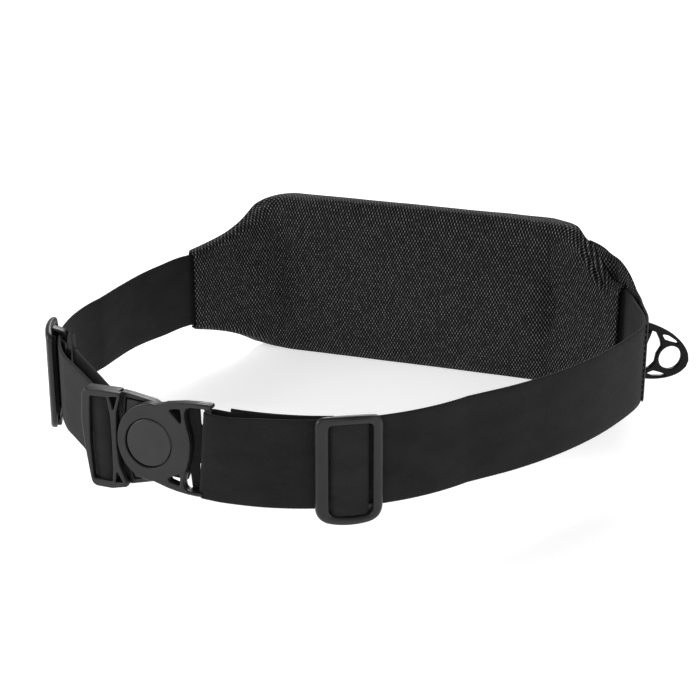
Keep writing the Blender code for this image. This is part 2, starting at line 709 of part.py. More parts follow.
def build_belt_slider(mats, prefix, track, at, flip):
    """A tri-glide on the belt, the belt's hump over its middle bar, and the sewn end round that bar.

    flip is 1 where the buckle lies towards -x in the slider's own axes.
    """
    centre, radius = track["centre"], track["radius"]
    place = (centre[0] + radius * math.cos(at), centre[1] + radius * math.sin(at), 0.0)
    turn = at + math.pi / 2
    frame = add_object(f"{prefix}_slider", slider_frame_mesh(f"{prefix}_slider", flip), mats["plastic"], place, turn)
    bar = add_object(
        f"{prefix}_slider_bar_join", slider_bar_mesh(f"{prefix}_slider_bar_join"), mats["plastic"], place, turn
    )
    boolean(frame, bar, "UNION")
    bevel(frame, 0.4 * MM)
    # hump, in the window of the frame
    half = 9.4 * MM
    xs = [half * s for s in (-1, -0.85, -0.5, 0, 0.5, 0.85, 1)]
    rise = [0.2, 1.5, 2.3, 2.6, 2.3, 1.5, 0.2]
    zs = spread(-24.6 * MM, 24.6 * MM, 4)

    def curve(x):
        return x * x / (2 * radius)

    lower = [[Vector((x, -STRAP_T / 2 - GAP + curve(x), z)) for z in zs] for x in xs]
    upper = [[Vector((x, -STRAP_T / 2 - GAP - r * MM + curve(x), z)) for z in zs] for x, r in zip(xs, rise)]
    hump = slab(f"{prefix}_belt_hump", lower, upper, mats["webbing"])
    hump.location, hump.rotation_euler = place, (0.0, 0.0, turn)
    # sewn end: out over the bar, round it, and back towards the buckle
    thick = 1.2 * MM
    near, far = 1.2 * MM + thick / 2, 5.7 * MM + thick / 2
    mid, r = (near + far) / 2, (far - near) / 2
    round_end = [
        Vector((4.0 * MM + r * math.sin(a), mid - r * math.cos(a)))
        for a in (math.pi * k / 8 for k in range(9))
    ]
    under = far - thick - GAP
    tail = [(-24, under), (-19, under), (-14, under), (-8.5, near + 0.5 * MM), (-4.5, near)]
    outside = [(-4.5, far), (-10, far), (-15, far), (-20.5, far), (-26, far)]
    path = [Vector((x * MM, y)) for x, y in tail] + round_end + [Vector((x * MM, y)) for x, y in outside]
    path = [Vector((p.x * flip, p.y + curve(p.x))) for p in path]
    end = ribbon(f"{prefix}_belt_sewn_end", path, 23.8 * MM, thick, mats["webbing"])
    end.location, end.rotation_euler = place, (0.0, 0.0, turn)


# ---- buckle ------------------------------------------------------------------------------------------------
def buckle_part(name, mesh, mat):
    return add_object(name, mesh, mat, (*BUCKLE_CENTRE, 0.0), BUCKLE_TURN)


def scaled(points):
    return [(x * MM, z * MM) for x, z in points]


def mirrored(points):
    """The same outline with z turned over, kept in the same order round."""
    return [(x, -z) for x, z in reversed(points)]


def build_receiver(mats):
    """The half on the left belt: a frame with a window and open ribs, and a round plate under the disc."""
    top_left = circle_points(4.5 * MM, 4, (-38.1 * MM, 22.8 * MM), math.pi / 2, math.pi)
    low_left = circle_points(7.5 * MM, 5, (-35.1 * MM, -19.8 * MM), math.pi, 1.5 * math.pi)
    rib_edge = [(-20.5, -27.3), (-22.3, -20.0), (-22.9, 0.0), (-22.3, 20.0), (-20.5, 27.3)]
    outline = top_left + low_left + scaled(rib_edge)
    window = [(-25.1, 24.2), (-36.2, 24.2), (-36.2, -24.2), (-25.1, -24.2)]
    triangle = [(-21.9, 23.9), (-24.2, 23.9), (-23.0, 15.5)]
    frame = buckle_part(
        "buckle_receiver",
        plate_mesh(
            "buckle_receiver",
            outline,
            [scaled(window), scaled(triangle), scaled(mirrored(triangle))],
            -5.0 * MM,
            -0.9 * MM,
        ),
        mats["plastic"],
    )
    # top and bottom rails carry the frame back to the level of the bar
    for name, side in (("top", 1), ("bottom", -1)):
        rail = rounded_box(10.0 * MM, 1.5 * MM, 0.8 * MM, 2, (-31.0 * MM, side * 25.7 * MM))
        rail = plate_mesh(f"receiver_{name}_rail_join", rail, [], -1.6 * MM, 4.6 * MM)
        boolean(frame, buckle_part(f"receiver_{name}_rail_join", rail, mats["plastic"]), "UNION")
    bar = bar_mesh("receiver_bar_join", BAR_R, 25.4 * MM, (LEFT_BAR_X, LEFT_BAR_Y))
    boolean(frame, buckle_part("receiver_bar_join", bar, mats["plastic"]), "UNION")
    # round plate under the disc, joined to the frame at its left edge
    half_turn = math.radians(122)
    flat_side = math.radians(37)
    plate = circle_points(25.0 * MM, 10, (0.5 * MM, 0.0), -half_turn, -flat_side)
    plate += circle_points(25.0 * MM, 10, (0.5 * MM, 0.0), flat_side, half_turn)
    plate += scaled([(-22.5, 26.6), (-24.4, 26.6), (-24.4, -26.6), (-22.5, -26.6)])
    magnet_well = circle_points(6.3 * MM, 20)
    base = plate_mesh("receiver_plate_join", plate, [], 0.4 * MM, 4.6 * MM)
    base = buckle_part("receiver_plate_join", base, mats["plastic"])
    boolean(frame, base, "UNION")
    foot = rounded_box(0.7 * MM, 26.0 * MM, 0.5 * MM, 2, (-23.4 * MM, 0.0))
    foot = plate_mesh("receiver_foot_join", foot, [], -2.0 * MM, 2.0 * MM)
    boolean(frame, buckle_part("receiver_foot_join", foot, mats["plastic"]), "UNION")
    well = plate_mesh("receiver_well_cut", magnet_well, [], -1.0 * MM, 3.3 * MM)
    boolean(frame, buckle_part("receiver_well_cut", well, mats["plastic"]), "DIFFERENCE")
    bevel(frame, 0.5 * MM)
    magnet = plate_mesh("receiver_magnet", circle_points(6.0 * MM, 20), [], 0.7 * MM, 3.0 * MM)
    buckle_part("receiver_magnet", magnet, mats["steel"])


def build_disc_half(mats):
    """The half on the right belt: the round disc that slides off sideways, flaring to a slot and bar."""
    outline = circle_points(21.0 * MM, 30, (0.0, 0.0), math.radians(74), math.radians(286))
    outline += scaled([(13, -24.0), (19, -26.4), (26, -27.3), (37, -27.3), (39.3, -25.4)])
    outline += scaled([(39.3, -23.9), (25.2, -23.9), (21.9, -20.0), (23.6, -10.0), (25.4, 0.0)])
    outline += scaled([(25.2, 9.0), (23.8, 19.0), (26.0, 23.9), (39.3, 23.9), (39.3, 25.4)])
    outline += scaled([(37, 27.3), (26, 27.3), (19, 26.2), (13, 23.8)])
    hole = scaled([(12.2, 20.4), (20.6, 13.9), (19.8, 22.4)])
    disc = buckle_part(
        "buckle_disc",
        plate_mesh("buckle_disc", outline, [hole, mirrored(hole)], -5.5 * MM, -0.4 * MM),
        mats["plastic"],
    )
    # floor of the strap slot and the rails that reach back to the bar's level
    floor = rounded_box(4.1 * MM, 25.6 * MM, 1.0 * MM, 2, (25.3 * MM, 0.0))
    floor = plate_mesh("disc_floor_join", floor, [], -1.4 * MM, 1.6 * MM)
    boolean(disc, buckle_part("disc_floor_join", floor, mats["plastic"]), "UNION")
    for name, side in (("top", 1), ("bottom", -1)):
        rail = rounded_box(8.5 * MM, 1.6 * MM, 0.8 * MM, 2, (30.4 * MM, side * 25.6 * MM))
        rail = plate_mesh(f"disc_{name}_rail_join", rail, [], -2.0 * MM, 2.8 * MM)
        boolean(disc, buckle_part(f"disc_{name}_rail_join", rail, mats["plastic"]), "UNION")
    bar = bar_mesh("disc_bar_join", BAR_R, 25.4 * MM, (RIGHT_BAR_X, 0.0))
    boolean(disc, buckle_part("disc_bar_join", bar, mats["plastic"]), "UNION")
    recess = plate_mesh("disc_recess_cut", circle_points(14.1 * MM, 36), [], -7.0 * MM, -3.6 * MM)
    boolean(disc, buckle_part("disc_recess_cut", recess, mats["plastic"]), "DIFFERENCE")
    well = plate_mesh("disc_well_cut", circle_points(6.3 * MM, 20), [], -4.4 * MM, -1.0 * MM)
    boolean(disc, buckle_part("disc_well_cut", well, mats["plastic"]), "DIFFERENCE")
    pad = plate_mesh("disc_pad", circle_points(13.5 * MM, 36), [], -6.0 * MM, -3.9 * MM)
    bevel(buckle_part("disc_pad", pad, mats["plastic"]), 0.6 * MM)
    magnet = plate_mesh("disc_magnet", circle_points(6.0 * MM, 20), [], -3.5 * MM, -1.3 * MM)
    buckle_part("disc_magnet", magnet, mats["steel"])


# ---- accessory ring -------------------------------------------------------------------------------------------
def build_ring(mats):
    """A flat D-ring with a round eye, two slots and a bar, hung in a loop of narrow webbing."""
    eye = (15.0, 0.0)
    side = [(-1.6, -17.5), (5.8, -17.4), (12.2, -16.2), (18, -14.0), (22.6, -10.9), (26.1, -6.8), (28.1, -2.3)]
    outline = scaled([*side, *mirrored(side)])
    round_eye = scaled(circle_points(8.0, 24, eye))
    edge = [(1.6, 14.0), (5.3, 14.0), (6.8, 9.5), (6.6, 5.8), (5.0, 2.3)]
    bar_window = scaled([*edge, *mirrored(edge)])
    slot = circle_points(10.3, 4, eye, math.radians(110), math.radians(75))
    slot = scaled([(8.4, 13.8), *slot, (17.2, 12.0), (12.2, 13.7)])
    mesh = plate_mesh(
        "accessory_ring",
        outline,
        [round_eye, bar_window, slot, mirrored(slot)],
        -RING_HALF_T,
        RING_HALF_T,
    )
    ring = add_object("accessory_ring", mesh, mats["plastic"], RING_PIVOT)
    bevel(ring, 0.6 * MM)
    ring.rotation_euler = (
        Matrix.Rotation(RING_TURN, 3, "Z") @ Matrix.Rotation(RING_TILT, 3, "Y")
    ).to_euler()
    # the loop: flanges sewn flat on the wing fabric, a neck, and the turn round the bar
    way = Vector((math.cos(RING_TURN), math.sin(RING_TURN)))
    across = Vector((-way.y, way.x))
    lean = way * math.tan(RING_TILT)
    r = 3.2 * MM
    bar = Vector(RING_PIVOT[:2])
    legs = ((-2.6, 1.9), (-3.4, 1.5))
    out = [(bar + way * a * MM + across * b * MM, lean) for a, b in reversed(legs)]
    turn = [
        (bar + way * r * math.sin(t) + across * r * math.cos(t), lean)
        for t in (math.pi * k / 8 for k in range(9))
    ]
    back = [(bar + way * a * MM - across * b * MM, lean) for a, b in legs]
    points = out + turn + back
    ribbon(
        "ring_webbing_loop",
        [p for p, _ in points],
        12.1 * MM,
        0.9 * MM,
        mats["webbing"],
        z_mid=RING_PIVOT[2],
        shear=[s for _, s in points],
    )


def main():
    clear_scene()
    mats = make_materials()
    build_back(mats)
    build_wing_backs(mats)
    build_shell(mats)
    build_pocket(mats)
    build_zip(mats, "main_zip", MAIN_ZIP_Z, skin_depth, 9.0 * MM)
    build_zip(mats, "pocket_zip", POCKET_ZIP_Z, pocket_face, 5.4 * MM)
    build_right_belt(mats)
    build_left_belt(mats)
    build_belt_slider(mats, "right", RIGHT_ARC, RIGHT_SLIDER_AT, 1)
    build_belt_slider(mats, "left", LEFT_ARC, LEFT_SLIDER_AT, -1)
    build_receiver(mats)
    build_disc_half(mats)
    build_ring(mats)


main()
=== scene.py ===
"""Visual model of the money belt: soft goods, webbing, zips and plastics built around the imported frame."""

import math

import bmesh
import bpy
from mathutils import Matrix, Vector, noise


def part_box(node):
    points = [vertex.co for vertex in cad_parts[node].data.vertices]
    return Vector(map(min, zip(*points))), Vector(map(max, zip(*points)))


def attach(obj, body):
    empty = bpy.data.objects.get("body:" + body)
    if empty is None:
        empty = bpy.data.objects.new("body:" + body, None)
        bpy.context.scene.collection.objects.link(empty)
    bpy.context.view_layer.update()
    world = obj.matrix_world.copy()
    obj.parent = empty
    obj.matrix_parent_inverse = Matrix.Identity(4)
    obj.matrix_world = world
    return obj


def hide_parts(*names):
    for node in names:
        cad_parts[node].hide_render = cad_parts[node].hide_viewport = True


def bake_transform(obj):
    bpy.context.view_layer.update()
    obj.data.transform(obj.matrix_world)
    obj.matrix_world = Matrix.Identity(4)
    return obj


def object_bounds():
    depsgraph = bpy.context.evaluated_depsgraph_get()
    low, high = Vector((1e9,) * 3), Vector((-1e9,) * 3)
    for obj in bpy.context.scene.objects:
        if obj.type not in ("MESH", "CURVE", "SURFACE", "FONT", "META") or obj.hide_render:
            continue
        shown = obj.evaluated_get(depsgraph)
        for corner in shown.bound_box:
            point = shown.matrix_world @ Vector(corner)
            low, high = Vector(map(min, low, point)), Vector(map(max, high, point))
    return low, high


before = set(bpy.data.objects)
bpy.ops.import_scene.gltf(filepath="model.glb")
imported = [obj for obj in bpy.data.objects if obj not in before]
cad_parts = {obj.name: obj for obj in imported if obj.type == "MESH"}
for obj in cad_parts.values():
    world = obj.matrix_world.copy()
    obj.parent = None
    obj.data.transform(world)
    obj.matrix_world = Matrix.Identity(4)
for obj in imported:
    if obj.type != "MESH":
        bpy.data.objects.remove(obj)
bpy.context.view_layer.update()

MM = 0.001

# ---- the part's driving dimensions, as its record has them ----
STRAP_HALF = 25.0 * MM
STRAP_T = 1.8 * MM
SHOULDER_X = 101.5 * MM
SHOULDER_R = 14.0 * MM
SKIN_T = 1.2 * MM
EDGE_DEPTH = 18.0 * MM
BULGE = 12.0 * MM
POCKET_BULGE = 7.5 * MM
SKIN_AT_WING = 6.9 * MM
BELT_DEPTH = 4.3 * MM
GAP = 0.3 * MM
WING_LEFT = {"angle": math.radians(51.4), "length": 60.0 * MM, "body_end": 125.0 * MM}
WING_RIGHT = {"angle": math.radians(27.9), "length": 47.0 * MM, "body_end": 116.0 * MM}
RIGHT_ARC = {"centre": (-20.0 * MM, -148.0 * MM), "radius": 138.0 * MM}
LEFT_ARC = {"centre": (-51.1 * MM, -156.6 * MM), "radius": 115.0 * MM}
RIGHT_SLIDER_AT = math.radians(-61.9)
LEFT_SLIDER_AT = math.radians(203.0)
BUCKLE_CENTRE = (-60.2 * MM, -278.0 * MM)
BUCKLE_TURN = math.radians(-6.0)
RIGHT_BAR_X = 36.0 * MM
LEFT_BAR_X = -29.4 * MM
LEFT_BAR_Y = 2.0 * MM
BAR_R = 2.3 * MM
MAIN_ZIP_Z = 33.0 * MM
POCKET_ZIP_Z = 9.0 * MM
ZIP_HALF_LENGTH = 84.0 * MM
RING_PIVOT = Vector((155.6 * MM, -15.5 * MM, -17.2 * MM))
RING_TURN = math.radians(26.0)

# ---- how worn, hanging pieces stand off their straight places ----
BUCKLE_ROLL = math.radians(-3.2)
BUCKLE_RISE = 0.8 * MM
SLIDER_SHIFT = Vector((1.9 * MM, 0.0, -1.5 * MM))
LEFT_STAND_OFF = -1.4 * MM
RING_HANG = math.radians(19.0)
RING_RISE = 1.9 * MM

# ---- (distance along the back, half height or drop) of the pouch's edges, in millimetres ----
FULL_HALF = 52.5
BACK_LEFT = [(88, FULL_HALF), (97, 51.5), (107, 47.0), (120, 39.6), (133, 33.0), (148, 28.4), (161, 25.4)]
BACK_RIGHT = [(93, FULL_HALF), (104, 52.6), (113, 50.4), (121, 45.6), (128, 38.6), (134, 30.4), (140, 26.2)]
BACK_RIGHT += [(149, 26.0)]
RIDGE_DROP = [(99, 0.0), (107, 2.6), (115, 5.6), (123, 8.6), (131, 8.4), (137, 5.6), (143, 3.6), (149, 1.4)]
SHELL = [(93, FULL_HALF), (105, 51.0), (117, 45.0), (133, 35.5)]

# ---- the mesh pad and its stuffing ----
KNIT_WIDE, KNIT_HIGH = 2.08 * MM, 1.8 * MM
FACE_ROWS, ROLL_ROWS, RIM_ROWS = 14, 7, 5
CLOTH_FRAMES = 20
CLOTH_REACH = 1.4 * MM
CLOTH = {
    "quality": 6,
    "mass": 0.25,
    "tension_stiffness": 25,
    "compression_stiffness": 25,
    "shear_stiffness": 10,
    "bending_stiffness": 3,
    "use_pressure": True,
    "uniform_pressure_force": 4.0,
    "vertex_group_mass": "held",
}

# ---- webbing ----
RIB_PITCH = 1.1 * MM
PICK_PITCH = 1.3 * MM
RETURN_INSET = 8.4 * MM
RIGHT_FOLD_R = 3.6 * MM
RIGHT_FROM = math.radians(-31)
RIGHT_SPLIT = math.radians(-88)
LEFT_FROM, LEFT_TO, LEFT_SPLIT = (math.radians(a) for a in (169, 221.6, 217))
HUMP_T = 1.2 * MM

# ---- the view ----
CAMERA_AT = (0.321, -1.0613, 0.3925)
CAMERA_LOOKS = Vector((-0.3032, 0.8803, -0.3649))
CAMERA_LENS = 90.0
WHITE = (1.0, 1.0, 1.0, 1.0)


# ---- small helpers ----
def smooth(t):
    t = min(max(t, 0.0), 1.0)
    return t * t * (3 - 2 * t)


def fade(x, start, run):
    """Rises from 0 to 1 over a run after start, both in millimetres; with a negative run, falls."""
    return smooth((x - start * MM) / (run * MM))


def bump(x, middle, width):
    return math.exp(-(((x - middle) / width) ** 2))


def spread(low, high, steps):
    return [low + (high - low) * k / steps for k in range(steps + 1)]


def from_mm(points):
    return [Vector((x * MM, y * MM)) for x, y in points]


def catmull(points, steps):
    """A smooth curve through points, as a denser list of points."""
    pts = [Vector(p) for p in points]
    pts = [2 * pts[0] - pts[1], *pts, 2 * pts[-1] - pts[-2]]
    out = []
    for a, b, c, d in zip(pts, pts[1:], pts[2:], pts[3:]):
        for k in range(steps):
            t = k / steps
            quad = (2 * a - 5 * b + 4 * c - d) * t**2
            cubic = (3 * b - a - 3 * c + d) * t**3
            out.append(0.5 * (2 * b + (c - a) * t + quad + cubic))
    out.append(pts[-2])
    return out


def read_curve(x, points):
    """y at x on a smooth curve through the points."""
    if x <= points[0][0]:
        return points[0][1]
    curve = catmull([Vector(p) for p in points], 6)
    for a, b in zip(curve, curve[1:]):
        if x <= b.x:
            return a.y + (b.y - a.y) * (x - a.x) / (b.x - a.x)
    return curve[-1].y


def arc(centre, radius, start, end, steps):
    return [
        Vector(centre) + radius * Vector((math.cos(a), math.sin(a)))
        for a in spread(start, end, steps)
    ]


def normals_left(path):
    out = []
    for i in range(len(path)):
        way = path[min(i + 1, len(path) - 1)] - path[max(i - 1, 0)]
        out.append(Vector((-way.y, way.x)).normalized())
    return out


def lengths(path):
    run = [0.0]
    for a, b in zip(path, path[1:]):
        run.append(run[-1] + (b - a).length)
    return run


def offset(path, distances):
    return [p + n * d for p, n, d in zip(path, normals_left(path), distances)]


def nearest(values, wanted):
    """Index of the value closest to the one wanted."""
    return min(range(len(values)), key=lambda i: abs(values[i] - wanted))


# ---- the pouch's own coordinates ----
def pouch_point(u, z, d):
    """The point u along the pouch's back, at height z and d out from its wearer side."""
    side = 1.0 if u >= 0 else -1.0
    wing = WING_RIGHT if u >= 0 else WING_LEFT
    angle = wing["angle"]
    run = abs(u) - (SHOULDER_X - SHOULDER_R * math.tan(angle / 2))
    if run <= 0:
        return Vector((u, d, z))
    turned = min(run / SHOULDER_R, angle)
    x = abs(u) - run + (SHOULDER_R + d) * math.sin(turned)
    y = -SHOULDER_R + (SHOULDER_R + d) * math.cos(turned)
    rest = run - SHOULDER_R * turned
    return Vector((side * (x + rest * math.cos(turned)), y - rest * math.sin(turned), z))


def seam_u(wing):
    cut = SHOULDER_R * math.tan(wing["angle"] / 2)
    return SHOULDER_X - cut + SHOULDER_R * wing["angle"] + wing["length"] - cut


SEAM_LEFT = -seam_u(WING_LEFT)
SEAM_RIGHT = seam_u(WING_RIGHT)


def back_height(u):
    return read_curve(abs(u) / MM, BACK_RIGHT if u >= 0 else BACK_LEFT) * MM


def shell_height(u):
    under_back = back_height(u) - 0.4 * MM * fade(abs(u), 92, 6)
    return min(read_curve(abs(u) / MM, SHELL) * MM, under_back)


def fullness(u):
    end = (WING_RIGHT if u >= 0 else WING_LEFT)["body_end"]
    return smooth((end - abs(u)) / (end - 88 * MM))


def edge_depth(u):
    return SKIN_AT_WING + (EDGE_DEPTH - SKIN_AT_WING) * fullness(u)


def skin_depth(u, z):
    share = min(abs(z) / shell_height(u), 1.0)
    return edge_depth(u) + BULGE * fullness(u) * (1 - share**6)


def pocket_face(u, z):
    rise = min(fade(abs(u), 93, -9), fade(z, -47, 9), fade(z, 21, -6))
    return skin_depth(u, z) + 2 * GAP + SKIN_T + POCKET_BULGE * rise


def buckle_to_plan(x, y):
    return Vector(BUCKLE_CENTRE) + Matrix.Rotation(BUCKLE_TURN, 2) @ Vector((x, y))


# ---- procedural materials ----
class Shader:
    """A Principled material with short calls to add nodes to it."""

    def __init__(self, name, roughness, metallic=0.0, specular=0.5):
        self.mat = bpy.data.materials.new(name)
        self.mat.use_nodes = True
        self.tree = self.mat.node_tree
        self.bsdf = self.tree.nodes["Principled BSDF"]
        self.bsdf.inputs["Roughness"].default_value = roughness
        self.bsdf.inputs["Metallic"].default_value = metallic
        self.bsdf.inputs["Specular IOR Level"].default_value = specular

    def node(self, kind, links=None, **props):
        made = self.tree.nodes.new(kind)
        for key, value in props.items():
            setattr(made, key, value)
        for key, value in (links or {}).items():
            self.put(value, made.inputs[key])
        return made

    def put(self, value, socket):
        if isinstance(value, bpy.types.NodeSocket):
            self.tree.links.new(value, socket)
        else:
            socket.default_value = value

    def math(self, operation, a, b=0.0, c=0.0):
        return self.node("ShaderNodeMath", {0: a, 1: b, 2: c}, operation=operation).outputs[0]

    def times(self, a, b):
        return self.math("MULTIPLY", a, b)

    def coords(self, kind, scale=(1.0, 1.0, 1.0)):
        """Texture coordinates in metres, times a scale."""
        source = self.node("ShaderNodeTexCoord").outputs[kind]
        return self.node("ShaderNodeMapping", {"Vector": source, "Scale": scale}).outputs[0]

    def noise(self, vector, scale, detail=3.0):
        links = {"Vector": vector, "Scale": scale, "Detail": detail}
        return self.node("ShaderNodeTexNoise", links).outputs["Fac"]

    def ramp(self, value, low, high, out_low, out_high):
        links = {0: value, 1: low, 2: high, 3: out_low, 4: out_high}
        return self.node("ShaderNodeMapRange", links, interpolation_type="SMOOTHSTEP").outputs[0]

    def mix(self, share, a, b):
        low, high = ((*c, 1.0) if isinstance(c, tuple) else c for c in (a, b))
        return self.node("ShaderNodeMix", {0: share, 6: low, 7: high}, data_type="RGBA").outputs[2]

    def finish(self, colour, height=None, distance=0.0002, strength=1.0, roughness=None):
        self.put(colour, self.bsdf.inputs["Base Color"])
        if height is not None:
            links = {"Height": height, "Distance": distance, "Strength": strength}
            self.tree.links.new(self.node("ShaderNodeBump", links).outputs[0], self.bsdf.inputs["Normal"])
        if roughness is not None:
            self.put(roughness, self.bsdf.inputs["Roughness"])
        return self.mat


def air_mesh_material():
    """Spacer mesh: staggered rows of dark holes between dull threads, with painted highlights on some of the
    thread crossings.
    """
    s = Shader("air_mesh_knit", 0.7, specular=0.08)
    split = s.node("ShaderNodeSeparateXYZ", {0: s.coords("UV")})
    wobble = s.noise(s.coords("UV"), 300.0, 2.0)
    x = s.math("MULTIPLY_ADD", split.outputs[0], 1 / KNIT_WIDE, s.times(wobble, 0.2))
    y = s.times(split.outputs[1], 1 / KNIT_HIGH)
    row = s.math("FLOOR", y)
    x = s.math("MULTIPLY_ADD", s.math("MODULO", s.math("ABSOLUTE", row), 2.0), 0.5, x)
    fx = s.math("SUBTRACT", s.math("FRACT", x), 0.5)
    fy = s.math("SUBTRACT", s.math("FRACT", y), 0.5)
    wide = s.times(s.times(fx, fx), 0.75)
    far = s.math("SQRT", s.math("ADD", wide, s.times(s.times(fy, fy), 1.7)))
    thread = s.ramp(far, 0.30, 0.42, 0.0, 1.0)
    # the crossing beside each hole, where the knit stands highest
    beside = s.math("SUBTRACT", s.math("ABSOLUTE", fx), 0.5)
    tall = s.times(s.times(fy, fy), 0.6)
    over = s.math("SQRT", s.math("MULTIPLY_ADD", s.times(beside, beside), 2.2, tall))
    cell = s.node("ShaderNodeCombineXYZ", {0: s.math("FLOOR", s.math("ADD", x, 0.5)), 1: row})
    chance = s.node("ShaderNodeTexWhiteNoise", {0: cell.outputs[0]}, noise_dimensions="2D").outputs[0]
    # painted highlight: a bright speck at some crossings stands in for threads catching the light
    painted_glint = s.times(s.ramp(chance, 0.0, 1.0, 0.35, 1.0), s.ramp(over, 0.1, 0.32, 1.0, 0.0))
    tone = s.noise(s.coords("UV"), 60.0, 2.0)
    yarn = s.mix(s.ramp(tone, 0.2, 0.8, 0.2, 0.8), (0.012, 0.012, 0.013), (0.022, 0.022, 0.024))
    colour = s.mix(thread, (0.0010, 0.0010, 0.0011), yarn)
    # the painted highlight's colour is mixed over the knit's own colour
    colour = s.mix(painted_glint, colour, (0.29, 0.29, 0.29))
    height = s.math("MULTIPLY_ADD", s.ramp(over, 0.0, 0.4, 1.0, 0.0), 0.5, thread)
    return s.finish(colour, height, 0.0005, 0.8, s.ramp(thread, 0.0, 1.0, 0.95, 0.6))


def woven_material(name, dark, light, pitch, roughness, depth, sheen=0.0):
    """Plain weave in UV metres, with slow tone changes and fine lint."""
    s = Shader(name, roughness, specular=0.12)
    s.bsdf.inputs["Sheen Weight"].default_value = sheen
    s.bsdf.inputs["Sheen Roughness"].default_value = 0.5
    split = s.node("ShaderNodeSeparateXYZ", {0: s.coords("UV")})
    turn = 2 * math.pi
    along = s.math("SINE", s.times(split.outputs[0], turn / pitch[0]))
    across = s.math("SINE", s.times(split.outputs[1], turn / pitch[1]))
    weave = s.math("MULTIPLY_ADD", s.times(along, across), 0.5, 0.5)
    fibre = s.noise(s.coords("UV", (1.0, 3.0, 1.0)), 1400.0, 2.0)
    height = s.math("MULTIPLY_ADD", fibre, 0.5, weave)
    tone = s.noise(s.coords("UV"), 55.0, 4.0)
    share = s.math("MULTIPLY_ADD", s.ramp(tone, 0.3, 0.7, 0.0, 0.55), 1.0, s.times(height, 0.3))
    return s.finish(s.mix(share, dark, light), height, depth, 0.8)


def webbing_material(name, dark, light):
    """Elastic webbing: tight lengthwise ribs crossed by fine picks."""
    s = Shader(name, 0.78, specular=0.1)
    s.bsdf.inputs["Sheen Weight"].default_value = 0.06
    s.bsdf.inputs["Sheen Roughness"].default_value = 0.45
    split = s.node("ShaderNodeSeparateXYZ", {0: s.coords("UV")})
    turn = 2 * math.pi
    row = s.math("FLOOR", s.times(split.outputs[1], 1 / RIB_PITCH))
    shift = s.times(s.math("MODULO", s.math("ABSOLUTE", row), 2.0), math.pi)
    picks = s.math("SINE", s.math("MULTIPLY_ADD", split.outputs[0], turn / PICK_PITCH, shift))
    ribs = s.math("SINE", s.times(split.outputs[1], turn / RIB_PITCH))
    height = s.math("MULTIPLY_ADD", picks, 0.28, s.math("MULTIPLY_ADD", ribs, 0.22, 0.5))
    lint = s.noise(s.coords("UV", (1.0, 2.5, 1.0)), 900.0, 3.0)
    height = s.math("MULTIPLY_ADD", lint, 0.35, height)
    tone = s.noise(s.coords("UV", (1.0, 2.0, 1.0)), 40.0, 4.0)
    share = s.math("MULTIPLY_ADD", s.ramp(tone, 0.3, 0.7, 0.0, 0.5), 1.0, s.times(height, 0.35))
    return s.finish(s.mix(share, dark, light), height, 0.00018, 0.7)


def plastic_material(name, dark, light, specular=0.36):
    """Moulded acetal: fine spark texture, slight sink and rub marks."""
    s = Shader(name, 0.34, specular=specular)
    where = s.coords("Object")
    grain = s.noise(where, 2600.0, 2.0)
    cloud = s.noise(where, 70.0, 3.0)
    colour = s.mix(s.ramp(cloud, 0.3, 0.7, 0.0, 1.0), dark, light)
    return s.finish(colour, grain, 0.00006, 0.5, s.ramp(cloud, 0.3, 0.7, 0.29, 0.39))


def metal_material(name, colour, worn):
    """Painted or plated metal with small bright rubs."""
    s = Shader(name, 0.35, 0.85)
    where = s.coords("Object")
    rub = s.ramp(s.noise(where, 420.0, 4.0), 0.55, 0.72, 0.0, 1.0)
    gloss = s.ramp(rub, 0.0, 1.0, 0.32, 0.48)
    return s.finish(s.mix(rub, colour, worn), s.noise(where, 1800.0, 2.0), 0.00004, 0.4, gloss)


def coil_material():
    s = Shader("zip_coil_nylon", 0.4)
    grain = s.noise(s.coords("Object"), 1500.0, 2.0)
    return s.finish(s.mix(grain, (0.014, 0.014, 0.015), (0.026, 0.026, 0.028)), grain, 0.00004, 0.5)


def thread_material():
    s = Shader("sewing_thread", 0.6)
    links = {"Vector": s.coords("Object"), "Scale": 900.0, "Distortion": 1.0}
    twist = s.node("ShaderNodeTexWave", links).outputs["Fac"]
    return s.finish(s.mix(twist, (0.012, 0.012, 0.012), (0.03, 0.03, 0.031)), twist, 0.00005, 0.6)


def foam_material():
    s = Shader("foam_cells", 0.95, specular=0.2)
    links = {"Vector": s.coords("Object"), "Scale": 1500.0}
    cells = s.node("ShaderNodeTexVoronoi", links).outputs["Distance"]
    return s.finish(s.mix(cells, (0.22, 0.22, 0.23), (0.38, 0.38, 0.39)), cells, 0.0003, 0.8)


